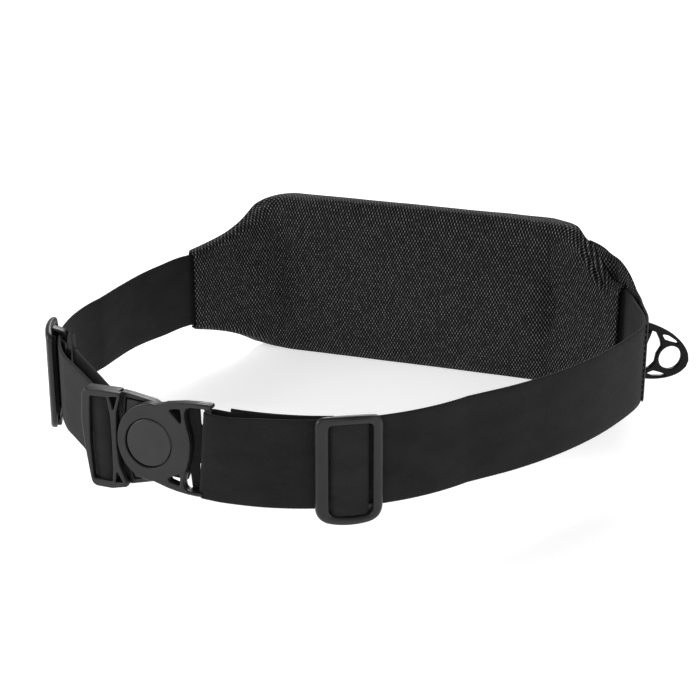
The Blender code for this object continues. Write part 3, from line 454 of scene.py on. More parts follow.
MATS = {
    "air_mesh": air_mesh_material(),
    "webbing": webbing_material("elastic_webbing", (0.0085, 0.0085, 0.009), (0.0165, 0.0165, 0.017)),
    # a lighter copy of the webbing for the belt raised over the bars: painted highlight where the raised belt
    # catches more light
    "painted_highlight_webbing": webbing_material("painted_highlight_webbing", (0.012, 0.012, 0.0125), (0.023, 0.023, 0.024)),
    "shell_fabric": woven_material(
        "oxford_shell", (0.011, 0.011, 0.012), (0.024, 0.024, 0.026), (0.9 * MM, 0.9 * MM), 0.8, 0.00012, 0.05
    ),
    "lining": woven_material(
        "nylon_lining", (0.04, 0.04, 0.043), (0.07, 0.07, 0.075), (0.5 * MM, 0.5 * MM), 0.7, 0.00006
    ),
    "zip_tape": woven_material(
        "zip_tape_weave", (0.010, 0.010, 0.011), (0.020, 0.020, 0.021), (1.0 * MM, 0.6 * MM), 0.75, 0.00010
    ),
    "plastic": plastic_material("moulded_plastic", (0.009, 0.009, 0.0095), (0.014, 0.014, 0.015)),
    "pad_plastic": plastic_material("pad_plastic", (0.016, 0.016, 0.0165), (0.021, 0.021, 0.022)),
    "ring_plastic": plastic_material("ring_plastic", (0.003, 0.003, 0.0032), (0.005, 0.005, 0.0053), 0.14),
    "zip_metal": metal_material("zip_painted_metal", (0.03, 0.03, 0.032), (0.16, 0.16, 0.165)),
    "steel": metal_material("magnet_steel", (0.42, 0.42, 0.43), (0.6, 0.6, 0.61)),
    "zip_coil": coil_material(),
    "thread": thread_material(),
    "foam": foam_material(),
}


# ---- mesh makers ----
def placed(name, data):
    """A new object in the scene."""
    obj = bpy.data.objects.new(name, data)
    bpy.context.scene.collection.objects.link(obj)
    return obj


def finished(name, mesh, slot):
    """The mesh as a named piece in its slot's material."""
    mesh.materials.clear()
    mesh.materials.append(MATS[slot])
    obj = placed(name, mesh)
    return obj


def add_mesh(name, verts, faces, slot, uvs=None):
    """A named piece from points and faces, with one UV pair in metres for each point."""
    mesh = bpy.data.meshes.new(name)
    mesh.from_pydata([tuple(v) for v in verts], [], faces)
    if uvs:
        layer = mesh.uv_layers.new(name="UVMap")
        for loop in mesh.loops:
            layer.data[loop.index].uv = uvs[loop.vertex_index]
    mesh.shade_smooth()
    return finished(name, mesh, slot)


def face_outward(obj):
    bm = bmesh.new()
    bm.from_mesh(obj.data)
    bmesh.ops.recalc_face_normals(bm, faces=bm.faces)
    bm.to_mesh(obj.data)
    bm.free()


def apply_all(obj):
    """Turns the object's modifiers into mesh."""
    graph = bpy.context.evaluated_depsgraph_get()
    graph.update()
    mesh = bpy.data.meshes.new_from_object(obj.evaluated_get(graph), depsgraph=graph)
    obj.modifiers.clear()
    old = obj.data
    obj.data = mesh
    bpy.data.meshes.remove(old)
    return obj


def modifier(obj, kind, **props):
    made = obj.modifiers.new(kind.lower(), kind)
    for key, value in props.items():
        setattr(made, key, value)
    return made


def thicken(sheet, thickness, offset=-1.0):
    """Gives a sheet its thickness and smooths it once."""
    modifier(sheet, "SOLIDIFY", thickness=thickness, offset=offset)
    modifier(sheet, "SUBSURF", levels=1, render_levels=1)
    return apply_all(sheet)


def grid(name, points, uvs, slot, skip=None):
    """A sheet from rows of points. skip(i, j) leaves a face out."""
    rows, cols = len(points), len(points[0])
    verts = [p for row in points for p in row]
    flat_uvs = [uv for row in uvs for uv in row]
    faces = []
    for i in range(rows - 1):
        for j in range(cols - 1):
            if not (skip and skip(i, j)):
                k = i * cols + j
                faces.append((k, k + 1, k + cols + 1, k + cols))
    return add_mesh(name, verts, faces, slot, flat_uvs)


def strap(name, path, half_heights, thickness, slot, z_mid=0.0, shear=None, rows=10, place=None):
    """Webbing on edge along a plan path, with rounded long edges and closed ends.

    half_heights and z_mid are numbers or lists. shear moves each point by its own plan vector for each
    metre of height. place is (where its origin goes, turn about Z).
    """
    count = len(path)
    levels = z_mid if isinstance(z_mid, list) else [z_mid] * count
    heights = half_heights if isinstance(half_heights, list) else [half_heights] * count
    slopes = shear or [Vector((0.0, 0.0))] * count
    run = lengths(path)
    half_t = thickness / 2
    round_edge = [(half_t * math.cos(a), math.sin(a)) for a in spread(0, math.pi, 6)[1:-1]]
    section = [(half_t, share, 0.0) for share in spread(-1, 1, rows)]
    section += [(across, 1, bulge) for across, bulge in round_edge]
    section += [(-half_t, share, 0.0) for share in spread(1, -1, rows)]
    section += [(-across, -1, -bulge) for across, bulge in round_edge]
    verts, uvs = [], []
    for p, n, h, level, slope, s in zip(path, normals_left(path), heights, levels, slopes, run):
        straight = h - half_t
        for across, share, bulge in section:
            z = share * straight + bulge * half_t
            at = p + n * across + slope * z
            verts.append(Vector((at.x, at.y, level + z)))
            uvs.append((s, z))
    size = len(section)
    faces = []
    for i in range(count - 1):
        for k in range(size):
            m = (k + 1) % size
            faces.append((i * size + k, i * size + m, (i + 1) * size + m, (i + 1) * size + k))
    # each end closes with a strip of quads between its two faces
    for start, flip in ((0, False), ((count - 1) * size, True)):
        half = size // 2
        loop = list(range(size))
        left = loop[:half]
        right = loop[half:][::-1]
        for k in range(half - 1):
            quad = (start + left[k], start + left[k + 1], start + right[k + 1], start + right[k])
            faces.append(quad[::-1] if flip else quad)
    if place:
        turn = Matrix.Rotation(place[1], 4, "Z")
        verts = [turn @ v + Vector(place[0]) for v in verts]
    obj = add_mesh(name, verts, faces, slot, uvs)
    face_outward(obj)
    return obj


def tube(points, radius, sides=6):
    """(verts, faces) of a closed capsule-ended tube along a few points."""
    verts, faces = [], []
    count = len(points)
    for i, p in enumerate(points):
        way = (points[min(i + 1, count - 1)] - points[max(i - 1, 0)]).normalized()
        side = way.orthogonal().normalized()
        up = way.cross(side)
        r = radius * (0.45 if i in (0, count - 1) else 1.0)
        turns = [2 * math.pi * k / sides for k in range(sides)]
        verts += [p + (side * math.cos(a) + up * math.sin(a)) * r for a in turns]
    for i in range(count - 1):
        for k in range(sides):
            m = (k + 1) % sides
            faces.append((i * sides + k, i * sides + m, (i + 1) * sides + m, (i + 1) * sides + k))
    faces.append(tuple(range(sides))[::-1])
    faces.append(tuple((count - 1) * sides + k for k in range(sides)))
    return verts, faces


def add_tube(verts, faces, points, radius, sides=6):
    """Puts one more tube into lists of points and faces."""
    start = len(verts)
    more, around = tube(points, radius, sides)
    verts += more
    faces += [tuple(start + k for k in face) for face in around]


def stitches(name, lines, radius=0.28 * MM, length=2.6 * MM, space=0.9 * MM):
    """Rows of short stitches along lines of points that lie on a surface. Each point is (place, normal)."""
    verts, faces = [], []
    for line in lines:
        places = [Vector(p) for p, _ in line]
        run = lengths(places)
        total = run[-1]

        def at(s):
            k = 0
            while k < len(run) - 2 and run[k + 1] < s:
                k += 1
            t = (s - run[k]) / max(run[k + 1] - run[k], 1e-9)
            return places[k].lerp(places[k + 1], t), line[k][1].lerp(line[k + 1][1], t).normalized()

        s = space / 2
        while s + length < total:
            pts = []
            for share, lift in ((0.0, -0.6), (0.15, 0.35), (0.5, 0.7), (0.85, 0.35), (1.0, -0.6)):
                p, n = at(s + length * share)
                pts.append(p + n * radius * lift)
            add_tube(verts, faces, pts, radius)
            s += length + space
    return add_mesh(name, verts, faces, "thread")


# ---- moulded plastic ----
def rounded(corners, steps=5):
    """An outline in millimetres from corners (x, z, radius), each turned into a short curve."""
    out = []
    for i, (x, z, radius) in enumerate(corners):
        here = Vector((x, z))
        back = Vector(corners[i - 1][:2]) - here
        ahead = Vector(corners[(i + 1) % len(corners)][:2]) - here
        reach = min(radius / math.tan(back.angle(ahead) / 2), 0.5 * back.length, 0.5 * ahead.length)
        a = here + back.normalized() * reach
        b = here + ahead.normalized() * reach
        for t in spread(0.0, 1.0, steps):
            p = a * (1 - t) ** 2 + here * 2 * t * (1 - t) + b * t**2
            out.append((p.x, p.y))
    return out


def oval(centre, half_x, half_z, start=0.0, end=360.0, steps=48, lean=0.04):
    """Points in millimetres on a slightly leaning ellipse, from start to end in degrees."""
    turns = [math.radians(a) for a in spread(start, end, steps)]
    if end - start >= 360.0:
        turns.pop()
    flat = [(half_x * math.cos(a), half_z * math.sin(a)) for a in turns]
    return [(centre[0] + x + lean * z, centre[1] + z + lean * x) for x, z in flat]


def plate(outline, front, back, edge, holes=()):
    """Mesh of a flat moulding with rounded edges, in mm. Outlines are (x, z); y runs from front to back."""
    data = bpy.data.curves.new("plate", "CURVE")
    data.dimensions = "2D"
    data.fill_mode = "BOTH"
    data.extrude = ((back - front) / 2 - edge) * MM
    data.bevel_depth = edge * MM
    data.bevel_resolution = 2
    data.offset = -edge * MM
    for loop in (outline, *holes):
        spline = data.splines.new("POLY")
        spline.points.add(len(loop) - 1)
        for point, (x, z) in zip(spline.points, loop):
            point.co = (x * MM, z * MM, 0.0, 1.0)
        spline.use_cyclic_u = True
    holder = placed("plate", data)
    graph = bpy.context.evaluated_depsgraph_get()
    graph.update()
    mesh = bpy.data.meshes.new_from_object(holder.evaluated_get(graph))
    bpy.data.objects.remove(holder)
    bpy.data.curves.remove(data)
    upright = Matrix.Rotation(math.pi / 2, 4, "X")
    mesh.transform(Matrix.Translation((0.0, (front + back) / 2 * MM, 0.0)) @ upright)
    return mesh


def moulding(name, parts, place, slot="plastic"):
    """One object from several meshes, its flat faces flat and its rounded edges smooth."""
    bm = bmesh.new()
    for mesh in parts:
        bm.from_mesh(mesh)
        bpy.data.meshes.remove(mesh)
    bmesh.ops.remove_doubles(bm, verts=bm.verts, dist=0.002 * MM)
    bmesh.ops.recalc_face_normals(bm, faces=bm.faces)
    for face in bm.faces:
        face.material_index = 0
        face.smooth = face.calc_area() < 12 * MM * MM or len(face.verts) == 4
        if abs(face.normal.y) > 0.9995:
            face.smooth = False
    mesh = bpy.data.meshes.new(name)
    bm.to_mesh(mesh)
    bm.free()
    mesh.transform(place)
    return finished(name, mesh, slot)


def bowed_box(low, high, radii, bows):
    """A closed loop of (x, z): a box whose top and bottom bulge, with one radius for each of them."""
    corner_steps, side_steps = 6, 7
    (x0, z0), (x1, z1) = low, high
    corners = [(x1, z1, radii[0]), (x0, z1, radii[0]), (x0, z0, radii[1]), (x1, z0, radii[1])]
    dense = []
    loop = rounded(corners, corner_steps)
    for i, a in enumerate(loop):
        b = loop[(i + 1) % len(loop)]
        dense.append(Vector(a))
        if i % (corner_steps + 1) == corner_steps:
            dense += [Vector(a).lerp(Vector(b), k / side_steps) for k in range(1, side_steps)]
    middle, half = (x0 + x1) / 2, (x1 - x0) / 2
    out = []
    for p in dense:
        round_off = 1 - ((p.x - middle) / half) ** 2
        share = (p.y - (z0 + z1) / 2) / ((z1 - z0) / 2)
        out.append((p.x, p.y + share * (bows[0] if share > 0 else bows[1]) * round_off))
    return out


def swept_frame(outer, inner, section, depth):
    """Mesh of a ring between two loops of (x, z). section lists (share across, y); depth(x) brings it out."""
    verts, faces = [], []
    for (ox, oz), (ix, iz) in zip(outer, inner):
        for share, y in section:
            x, z = ox + (ix - ox) * share, oz + (iz - oz) * share
            verts.append((x * MM, (y - depth(x)) * MM, z * MM))
    count, size = len(outer), len(section)
    for i in range(count):
        for k in range(size):
            m, j = (k + 1) % size, (i + 1) % count
            faces.append((i * size + k, i * size + m, j * size + m, j * size + k))
    mesh = bpy.data.meshes.new("frame")
    mesh.from_pydata(verts, [], faces)
    return mesh


def refined(mesh):
    """The mesh after one subdivision."""
    holder = placed("refined", mesh)
    modifier(holder, "SUBSURF", levels=1, render_levels=1)
    done = apply_all(holder).data
    bpy.data.objects.remove(holder)
    return done


def rod(points, radius):
    """Mesh of a round bar along points in millimetres."""
    verts, faces = tube([Vector(p) * MM for p in points], radius * MM, 10)
    mesh = bpy.data.meshes.new("rod")
    mesh.from_pydata([tuple(v) for v in verts], [], faces)
    return mesh


def buckle_place():
    turn = Matrix.Rotation(BUCKLE_TURN, 4, "Z") @ Matrix.Rotation(BUCKLE_ROLL, 4, "Y")
    return Matrix.Translation((*BUCKLE_CENTRE, BUCKLE_RISE)) @ turn


def build_receiver():
    """Frame with a strap window and forked rib, and the bordered round plate that the disc slides onto."""
    outline = [(-17.3, 27.2, 0.6), (-28, 27.5, 6), (-41.4, 27.0, 4.2), (-43.6, 8, 12), (-42.9, -9, 12)]
    outline += [(-41.8, -22, 8), (-40.9, -30.2, 6.5), (-28, -30.4, 8), (-18.4, -28.3, 0.6), (-19.6, -22, 3)]
    outline += [(-22.0, -15.5, 8), (-22.3, -4, 10), (-21.5, 5, 10), (-20.6, 15.5, 8), (-17.2, 25.2, 1)]
    window = [(-36.6, 23.7, 1.2), (-25.8, 23.9, 0.8), (-24.7, 12, 8), (-25.2, -2, 10), (-26.4, -19, 8)]
    window += [(-27.4, -26.2, 0.8), (-39.6, -25.6, 1.6), (-39.4, -4, 14), (-37.8, 14, 12)]
    fork_top = [(-24.3, 24.2, 0.3), (-19.1, 24.9, 0.3), (-22.3, 16.2, 0.5)]
    fork_low = [(-24.0, -19.6, 0.5), (-25.6, -26.4, 0.3), (-20.6, -26.0, 0.3)]
    holes = [rounded(hole, 4) for hole in (window, fork_top, fork_low)]
    parts = [plate(rounded(outline), -5.0, -1.4, 0.7, holes)]
    border = [(-19.2, 26.5, 0.8), (-14, 25.9, 4), (1, 23.2, 4), (13, 17, 8), (19, 0, 14), (13, -17, 8)]
    border += [(-2, -24.2, 4), (-12, -26.6, 4), (-18.8, -28.2, 0.8), (-20.2, -16, 6), (-20.8, -6, 8)]
    border += [(-20.6, 5, 8), (-20.0, 14, 6)]
    panel = [(-16.4, 23.6, 1), (-2, 22.1, 3), (11, 15, 7), (16, 0, 12), (11, -15, 7), (-6, -22.9, 3)]
    panel += [(-16.2, -25.0, 1.4), (-18.4, -17, 5), (-19.0, -6, 7), (-18.9, 5, 7), (-18.1, 13, 5)]
    inner = [(-15.7, 22.8, 0.8), (-2, 21.3, 3), (10.5, 14.4, 7), (15.3, 0, 12), (10.5, -14.4, 7)]
    inner += [(-6, -22.1, 3), (-15.5, -24.0, 1.2), (-17.6, -16.6, 5), (-18.2, -6, 7), (-18.1, 5, 7)]
    inner += [(-17.4, 12.8, 5)]
    parts.append(plate(rounded(border), -0.2, 2.6, 0.35, [rounded(panel)]))
    parts.append(plate(rounded(inner), -0.2, 2.6, 0.35))
    parts.append(plate(rounded(border), 1.9, 4.6, 0.6))
    foot = [(-24.6, 27.0, 1), (-15, 25.2, 1), (-14, 0, 1), (-15, -26, 1), (-26.9, -28.4, 1), (-25.6, -16, 6)]
    foot += [(-24.2, -4, 8)]
    parts.append(plate(rounded(foot), 2.9, 4.6, 0.5))
    for low, high in ((24.4, 27.2), (-28.9, -26.3)):
        rail = [(-41.6, high, 1.2), (-19.6, high, 1.2), (-19.6, low, 0.8), (-41.4, low, 1.2)]
        parts.append(plate(rounded(rail), -3.0, 4.6, 0.8))
    parts.append(rod([(LEFT_BAR_X / MM, LEFT_BAR_Y / MM, z) for z in (-27, -26.5, 0, 25, 25.5)], BAR_R / MM))
    body = moulding("receiver_moulding", parts, buckle_place())
    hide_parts("buckle_receiver")
    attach(body, "pouch_and_belt")
    # the belt's crown over the bar, which fills the window
    over_bar = [(-43.0, 2.4), (-40.2, -0.2), (-36.4, -1.9), (-33, -2.5), (-29.4, -1.9), (-26.6, 0.0)]
    over_bar += [(-25.0, 2.4), (-24.4, 4.0)]
    path = catmull(from_mm(over_bar), 4)
    # the crown takes the lighter webbing copy, a painted highlight on the raised belt
    crown = strap("left_strap_crown", path, 25.4 * MM, HUMP_T, "painted_highlight_webbing", z_mid=-1.2 * MM)
    crown.data.transform(buckle_place())
    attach(crown, "pouch_and_belt")


def build_disc_half():
    """The round half: a disc with a recessed pad, two corner holes and the flare that holds the bar."""
    skin = oval((0.0, 0.8), 21.1, 22.9, 78.0, 272.0, 40)
    low = [(8.4, -24.7), (14, -25.9), (20, -26.8), (26, -27.2), (28.6, -27.1), (29.4, -26.2), (29.0, -25.0)]
    slot = [(24.4, -24.9), (20.8, -24.6), (18.7, -23.3), (18.3, -20.6), (19.2, -17.2), (20.9, -12)]
    slot += [(22.9, -7), (24.1, -2), (24.7, 3), (24.4, 8), (23.4, 13), (22.7, 17.5), (22.9, 21)]
    slot += [(24.2, 23.5), (27, 24.4)]
    top = [(33, 24.5), (37.4, 24.3), (39.0, 24.9), (39.2, 26.3), (37.8, 27.3), (30, 27.2), (22, 26.7)]
    top += [(13, 25.3)]
    outline = skin + low + slot + top
    hole_top = rounded([(12.9, 21.7, 1.0), (20.6, 22.9, 1.2), (20.5, 13.6, 1.0), (17.0, 17.4, 3)], 4)
    hole_low = rounded([(8.8, -18.9, 0.6), (16.8, -15.2, 1.0), (16.0, -22.4, 1.0), (9.6, -20.6, 0.8)], 4)
    recess = oval((-1.5, 0.3), 14.4, 14.4)
    parts = [plate(outline, -5.5, -3.1, 0.75, [hole_top, hole_low, recess])]
    parts.append(plate(outline, -3.6, -0.5, 0.3, [hole_top, hole_low]))
    backing = [(9, 24.0, 1), (24, 25.0, 1), (23, 6, 2), (22, -12, 3), (18, -20.9, 1.5), (8, -20.3, 1)]
    backing += [(10, 0, 6)]
    parts.append(plate(rounded(backing), 0.4, 2.0, 0.5))
    top_rail = [(22, 26.6, 1.2), (39.2, 27.0, 1.4), (39.2, 24.4, 1.2), (22, 24.4, 1.0)]
    parts.append(plate(rounded(top_rail), -5.2, 0.6, 1.0))
    low_rail = [(20, -24.7, 1.0), (38.4, -24.7, 1.2), (38.4, -26.9, 1.2), (20, -26.6, 1.0)]
    parts.append(plate(rounded(low_rail), -1.9, 2.8, 0.8))
    parts.append(rod([(RIGHT_BAR_X / MM - 1.4, 0.0, z) for z in (-25.5, -25, 0, 25, 25.5)], BAR_R / MM - 0.3))
    body = moulding("disc_moulding", parts, buckle_place())
    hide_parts("buckle_disc")
    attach(body, "buckle_disc_body")
    # the tucked layer of belt that shows in the slot beside the bar
    tuck = [(18.5, 23.8, 1), (29.4, 23.8, 1), (29.2, 13.4, 2), (31.6, 9, 2), (30.6, -6, 3), (26.2, -10.5, 2)]
    tuck += [(25.8, -17.4, 2), (28.2, -19.6, 1), (28.2, -27.0, 1), (20.6, -26.6, 1)]
    fold = moulding("right_strap_tuck", [plate(rounded(tuck), 0.2, 1.8, 0.6)], buckle_place(), "webbing")
    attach(fold, "buckle_disc_body")
    face = [plate(oval((-0.75, 1.0), 13.8, 13.8), -6.0, -3.9, 0.8)]
    pad = moulding("disc_touch_pad", face, buckle_place(), "pad_plastic")
    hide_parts("disc_pad")
    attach(pad, "buckle_disc_body")


def build_belt_slider(prefix, track, at, flip):
    """A tri-glide: a bowed frame with a wide post towards the buckle, and a bar on the wearer's side."""
    left, right = -18.0, 18.6
    wide_post, narrow_post = 7.4, 5.8
    outer = bowed_box((left, -29.9), (right, 29.2), (5.6, 7.6), (1.3, 2.8))
    inner = bowed_box((left + wide_post, -26.6), (right - narrow_post, 25.0), (2.4, 3.6), (0.4, 1.4))
    section = [(0.0, -3.2), (0.03, -4.4), (0.16, -5.3), (0.4, -5.6), (0.72, -5.5), (0.93, -4.8), (1.0, -3.6)]
    section += [(1.0, -2.2), (0.86, -1.6), (0.14, -1.6), (0.0, -2.2)]

    def bow(x):
        return 2.0 * (1 - (x / left) ** 2) - 0.6

    if flip < 0:
        outer = [(-x, z) for x, z in outer]
        inner = [(-x, z) for x, z in inner]
    parts = [refined(swept_frame(outer, inner, section, bow))]
    staple = [(-28.2, -3.2), (-27.9, 0.0), (-27.0, 2.4), (-25.4, 3.9), (-20, 4.2), (0, 4.2), (20, 4.2)]
    staple += [(25.0, 3.9), (26.2, 2.4), (27.2, 0.0), (28.2, -3.2)]
    path = catmull(from_mm(staple), 3)
    bar = strap(f"{prefix}_bar", path, 3.6 * MM, 1.9 * MM, "plastic", rows=4)
    bar.data.transform(Matrix.Rotation(-math.pi / 2, 4, "Y"))
    parts.append(bar.data.copy())
    bpy.data.objects.remove(bar)
    shelf = [(-12.5, -25.2, 1), (9.0, -25.2, 1), (9.8, -22.0, 0.6), (14, -22.0, 1), (14, -30.2, 2)]
    shelf += [(-12.5, -30.2, 2)]
    parts.append(plate(rounded([(x * flip, z, r) for x, z, r in shelf]), -2.6, 0.4, 0.8))
    centre, radius = track["centre"], track["radius"]
    spot = Matrix.Translation((centre[0] + radius * math.cos(at), centre[1] + radius * math.sin(at), 0.0))
    place = spot @ Matrix.Rotation(at + math.pi / 2, 4, "Z") @ Matrix.Translation(slider_shift(flip))
    body = moulding(f"{prefix}_slider_moulding", parts, place)
    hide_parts(f"{prefix}_slider")
    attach(body, f"{prefix}_slider_body")


def slider_shift(flip):
    return Vector((SLIDER_SHIFT.x * flip, LEFT_STAND_OFF if flip < 0 else 0.0, SLIDER_SHIFT.z))


# ---- the pouch's soft shapes ----
def pad_shape(u):
    """(half height, edge roll radius, depth where the mesh ends, swell towards the wearer) at u."""
    f = fullness(u)
    height = back_height(u) + 1.7 * MM * f + 0.5 * MM
    roll = (2.6 + 6.9 * f) * MM
    depth = edge_depth(u) - 0.3 * MM
    swell = 4.2 * MM * fade(abs(u), 99, -15)
    to_seam = smooth((abs(seam_at(u)) - abs(u)) / (10 * MM))
    swell += 0.7 * MM * fade(abs(u), 104, 14) * to_seam
    swell -= 1.2 * MM * bump(abs(u), 100 * MM, 3.5 * MM)
    return height, roll, depth, swell


def seam_at(u):
    return SEAM_RIGHT if u >= 0 else SEAM_LEFT


def pad_section(u):
    """(z, d, arc length) across the mesh from its bottom edge over the face to its top edge."""
    height, roll, depth, swell = pad_shape(u)
    ridge = height - (read_curve(u / MM, RIDGE_DROP) * MM if u > 0 else 0.0)
    foot = height + 1.0 * MM * fullness(u) * fade(-u, 60, 30)
    low = half_section(foot, foot, roll, depth, swell)
    high = half_section(ridge, height, roll, depth, swell)
    return [(-z, d, -s) for z, d, s in reversed(low[1:])] + high


def half_section(ridge, rim, roll, depth, swell):
    """From the middle of the face to its ridge, over the roll, and back to the rim at the seam."""
    base = ridge - roll
    half = [(z, 0.0, z) for z in spread(0.0, base, FACE_ROWS)]
    for a in spread(0.0, math.pi / 2, ROLL_ROWS)[1:]:
        half.append((base + roll * math.sin(a), roll * (1 - math.cos(a)), base + roll * a))
    over = base + roll * math.pi / 2
    for share in spread(0.0, 1.0, RIM_ROWS)[1:]:
        d = roll + (depth - roll) * share
        half.append((ridge + (rim - ridge) * share, d, over + (depth - roll) * share))
    out = []
    for z, d, s in half:
        crown = swell * (1 - min(z / ridge, 1.0) ** 2) * (1 - smooth(d / max(roll, 0.01 * MM)))
        out.append((z, d - crown, s))
    return out


def pad_stations():
    left = spread(SEAM_LEFT, -112 * MM, 16)[:-1] + spread(-112 * MM, -88 * MM, 16)[:-1]
    right = spread(88 * MM, 124 * MM, 24)[:-1] + spread(124 * MM, SEAM_RIGHT, 14)
    return left + spread(-88 * MM, 88 * MM, 36)[:-1] + right


def crumple(u, z, d):
    """Small wanderings of the mesh's surface, in metres, more in the folds of the right wing's end."""
    where = Vector((u * 28, z * 34, d * 20))
    soft = 0.35 * MM * noise.noise(where) + 0.16 * MM * noise.noise(where * 2.7)
    fold = fade(u, 104, 10) * fade(u, 136, -10)
    ridge = math.sin((u - 0.55 * abs(z)) / MM * 0.42) * 0.6 * MM
    return soft + fold * ridge * fade(z, 0, 26)


def build_pad():
    points, uvs = [], []
    for u in pad_stations():
        row, uv = [], []
        for z, d, s in pad_section(u):
            shift = crumple(u, z, d)
            front = 1 - fade(d, 0, 8)
            row.append(pouch_point(u, z + shift * (1 - front) * (1 if z > 0 else -1), d - shift * front))
            uv.append((u, s))
        points.append(row)
        uvs.append(uv)
    pad = grid("mesh_back_pad", points, uvs, "air_mesh")
    inflate(pad, len(points), len(points[0]))
    thicken(pad, 1.6 * MM)
    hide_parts("back_mesh", "top_gusset", "bottom_gusset")
    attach(pad, "pouch_and_belt")


def inflate(obj, rows, cols):
    """Cloth under slight pressure, held along its seams, so that the pad swells and its edge dimples."""
    rest = [v.co.copy() for v in obj.data.vertices]
    group = obj.vertex_groups.new(name="held")
    for i in range(rows):
        for j in range(cols):
            edge = min(i, rows - 1 - i, j, cols - 1 - j)
            weight = 1.0 if edge == 0 else 0.25 if edge < 3 else 0.0
            if weight:
                group.add([i * cols + j], weight, "REPLACE")
    cloth = obj.modifiers.new("cloth", "CLOTH")
    for key, value in CLOTH.items():
        setattr(cloth.settings, key, value)
    cloth.settings.effector_weights.gravity = 0.0
    cloth.point_cache.frame_start = 1
    cloth.point_cache.frame_end = CLOTH_FRAMES
    scene = bpy.context.scene
    for number in range(1, CLOTH_FRAMES + 1):
        scene.frame_set(number)
    graph = bpy.context.evaluated_depsgraph_get()
    puffed = [v.co.copy() for v in obj.evaluated_get(graph).data.vertices]
    obj.modifiers.clear()
    scene.frame_set(1)
    for v, start, end in zip(obj.data.vertices, rest, puffed):
        move = end - start
        v.co = start + (move.normalized() * min(move.length, CLOTH_REACH) if move.length > 0 else move)


# ---- shell ----
SLIT_LOW = 29.5
SLIT_HALF = 87.5 * MM


def shell_rows():
    """Heights of the front's rows, in millimetres at full height, dense near the edges and the zip slit."""
    edge = [FULL_HALF, 52.2, 51.6, 50.6, 49.2, 47.4, 45.0, 42.0, 39.0]
    low = [-z for z in edge] + [-34, -28, -21, -14, -7, 0, 7, 14, 20, 25, 28, SLIT_LOW, 36.5]
    return low + edge[::-1]


def build_shell():
    rows = shell_rows()
    ends = (-WING_LEFT["body_end"], WING_RIGHT["body_end"])
    us = spread(ends[0], -97 * MM, 10) + [-96 * MM, -95 * MM, -94 * MM, -91 * MM]
    us += spread(-SLIT_HALF, SLIT_HALF, 30)
    us += [91 * MM, 94 * MM, 95 * MM, 96 * MM] + spread(97 * MM, ends[1], 8)
    points, uvs = [], []
    for u in us:
        row, uv = [], []
        for z_mm in rows:
            z = z_mm / FULL_HALF * (shell_height(u) + 0.7 * MM)
            d = skin_depth(u, min(abs(z), shell_height(u)))
            d -= 0.7 * MM * bump(abs(u), 95 * MM, 0.9 * MM)
            d += 0.35 * MM * noise.noise(Vector((u * 25, z * 30, 4.0))) * smooth((FULL_HALF - abs(z_mm)) / 10)
            row.append(pouch_point(u, z, d))
            uv.append((u, z))
        points.append(row)
        uvs.append(uv)
    slit = rows.index(SLIT_LOW)
    first, last = nearest(us, -SLIT_HALF), nearest(us, SLIT_HALF)
    shell = grid("front_shell", points, uvs, "shell_fabric", lambda i, j: j == slit and first <= i < last)
    thicken(shell, SKIN_T, 1.0)
    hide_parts("front_panel_lower", "front_panel_upper", "left_end_panel", "right_end_panel")
    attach(shell, "pouch_and_belt")
    lines = []
    for side in (-1, 1):
        for gap in (-2.2, 2.2):
            u = side * (95 + gap) * MM
            lines.append([on_skin(u, z * MM, skin_depth) for z in spread(-50, 50, 40)])
    for z in (MAIN_ZIP_Z - 5.4 * MM, MAIN_ZIP_Z + 5.4 * MM):
        lines.append([on_skin(u * MM, z, skin_depth) for u in spread(-88, 88, 60)])
    sewn = stitches("shell_stitching", lines)
    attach(sewn, "pouch_and_belt")


def on_skin(u, z, depth):
    """(place, outward normal) on the front's outer side."""
    p = pouch_point(u, z, depth(u, z))
    a = pouch_point(u + 0.4 * MM, z, depth(u + 0.4 * MM, z)) - p
    b = pouch_point(u, z + 0.4 * MM, depth(u, z + 0.4 * MM)) - p
    n = b.cross(a).normalized()
    return p, n if n.y > 0 else -n


def build_pocket():
    """The patch pocket with its zip slit."""
    zs = [-47, -46.4, -45.4, -44, -42.5, -40.5, -38, -34, -28, -21, -14, -7, 0, 3, 5.5]
    zs += [12.5, 14.5, 16, 17.5, 19, 20, 20.6, 21]
    us = [-93, -92.4, -91.4, -90, -88.4, -86.5, -84.5, -84] + spread(-80, 80, 26)
    us += [84, 84.5, 86.5, 88.4, 90, 91.4, 92.4, 93]

    def face_point(u, z):
        ripple = 0.3 * MM * noise.noise(Vector((u * 0.03, z * 0.04, 9)))
        return pouch_point(u * MM, z * MM, pocket_face(u * MM, z * MM) + ripple)

    points = [[face_point(u, z) for z in zs] for u in us]
    uvs = [[(u * MM, z * MM) for z in zs] for u in us]
    slit = zs.index(5.5)
    first, last = us.index(-84.5), us.index(84.5)
    pocket = grid("front_pocket", points, uvs, "shell_fabric", lambda i, j: j == slit and first <= i < last)
    thicken(pocket, SKIN_T, 1.0)
    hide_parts("pocket_panel", "pocket_zip_band")
    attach(pocket, "pouch_and_belt")
    lines = [[on_skin(u * MM, z * MM, pocket_face) for u in spread(-87, 87, 60)] for z in (3.4, 14.6)]
    lines += [[on_skin(u * MM, z * MM, pocket_face) for u in spread(-90, 90, 60)] for z in (-46, 20)]
    lines += [[on_skin(u * MM, z * MM, pocket_face) for z in spread(-46, 20, 30)] for u in (-92, 92)]
    sewn = stitches("pocket_stitching", lines)
    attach(sewn, "pouch_and_belt")


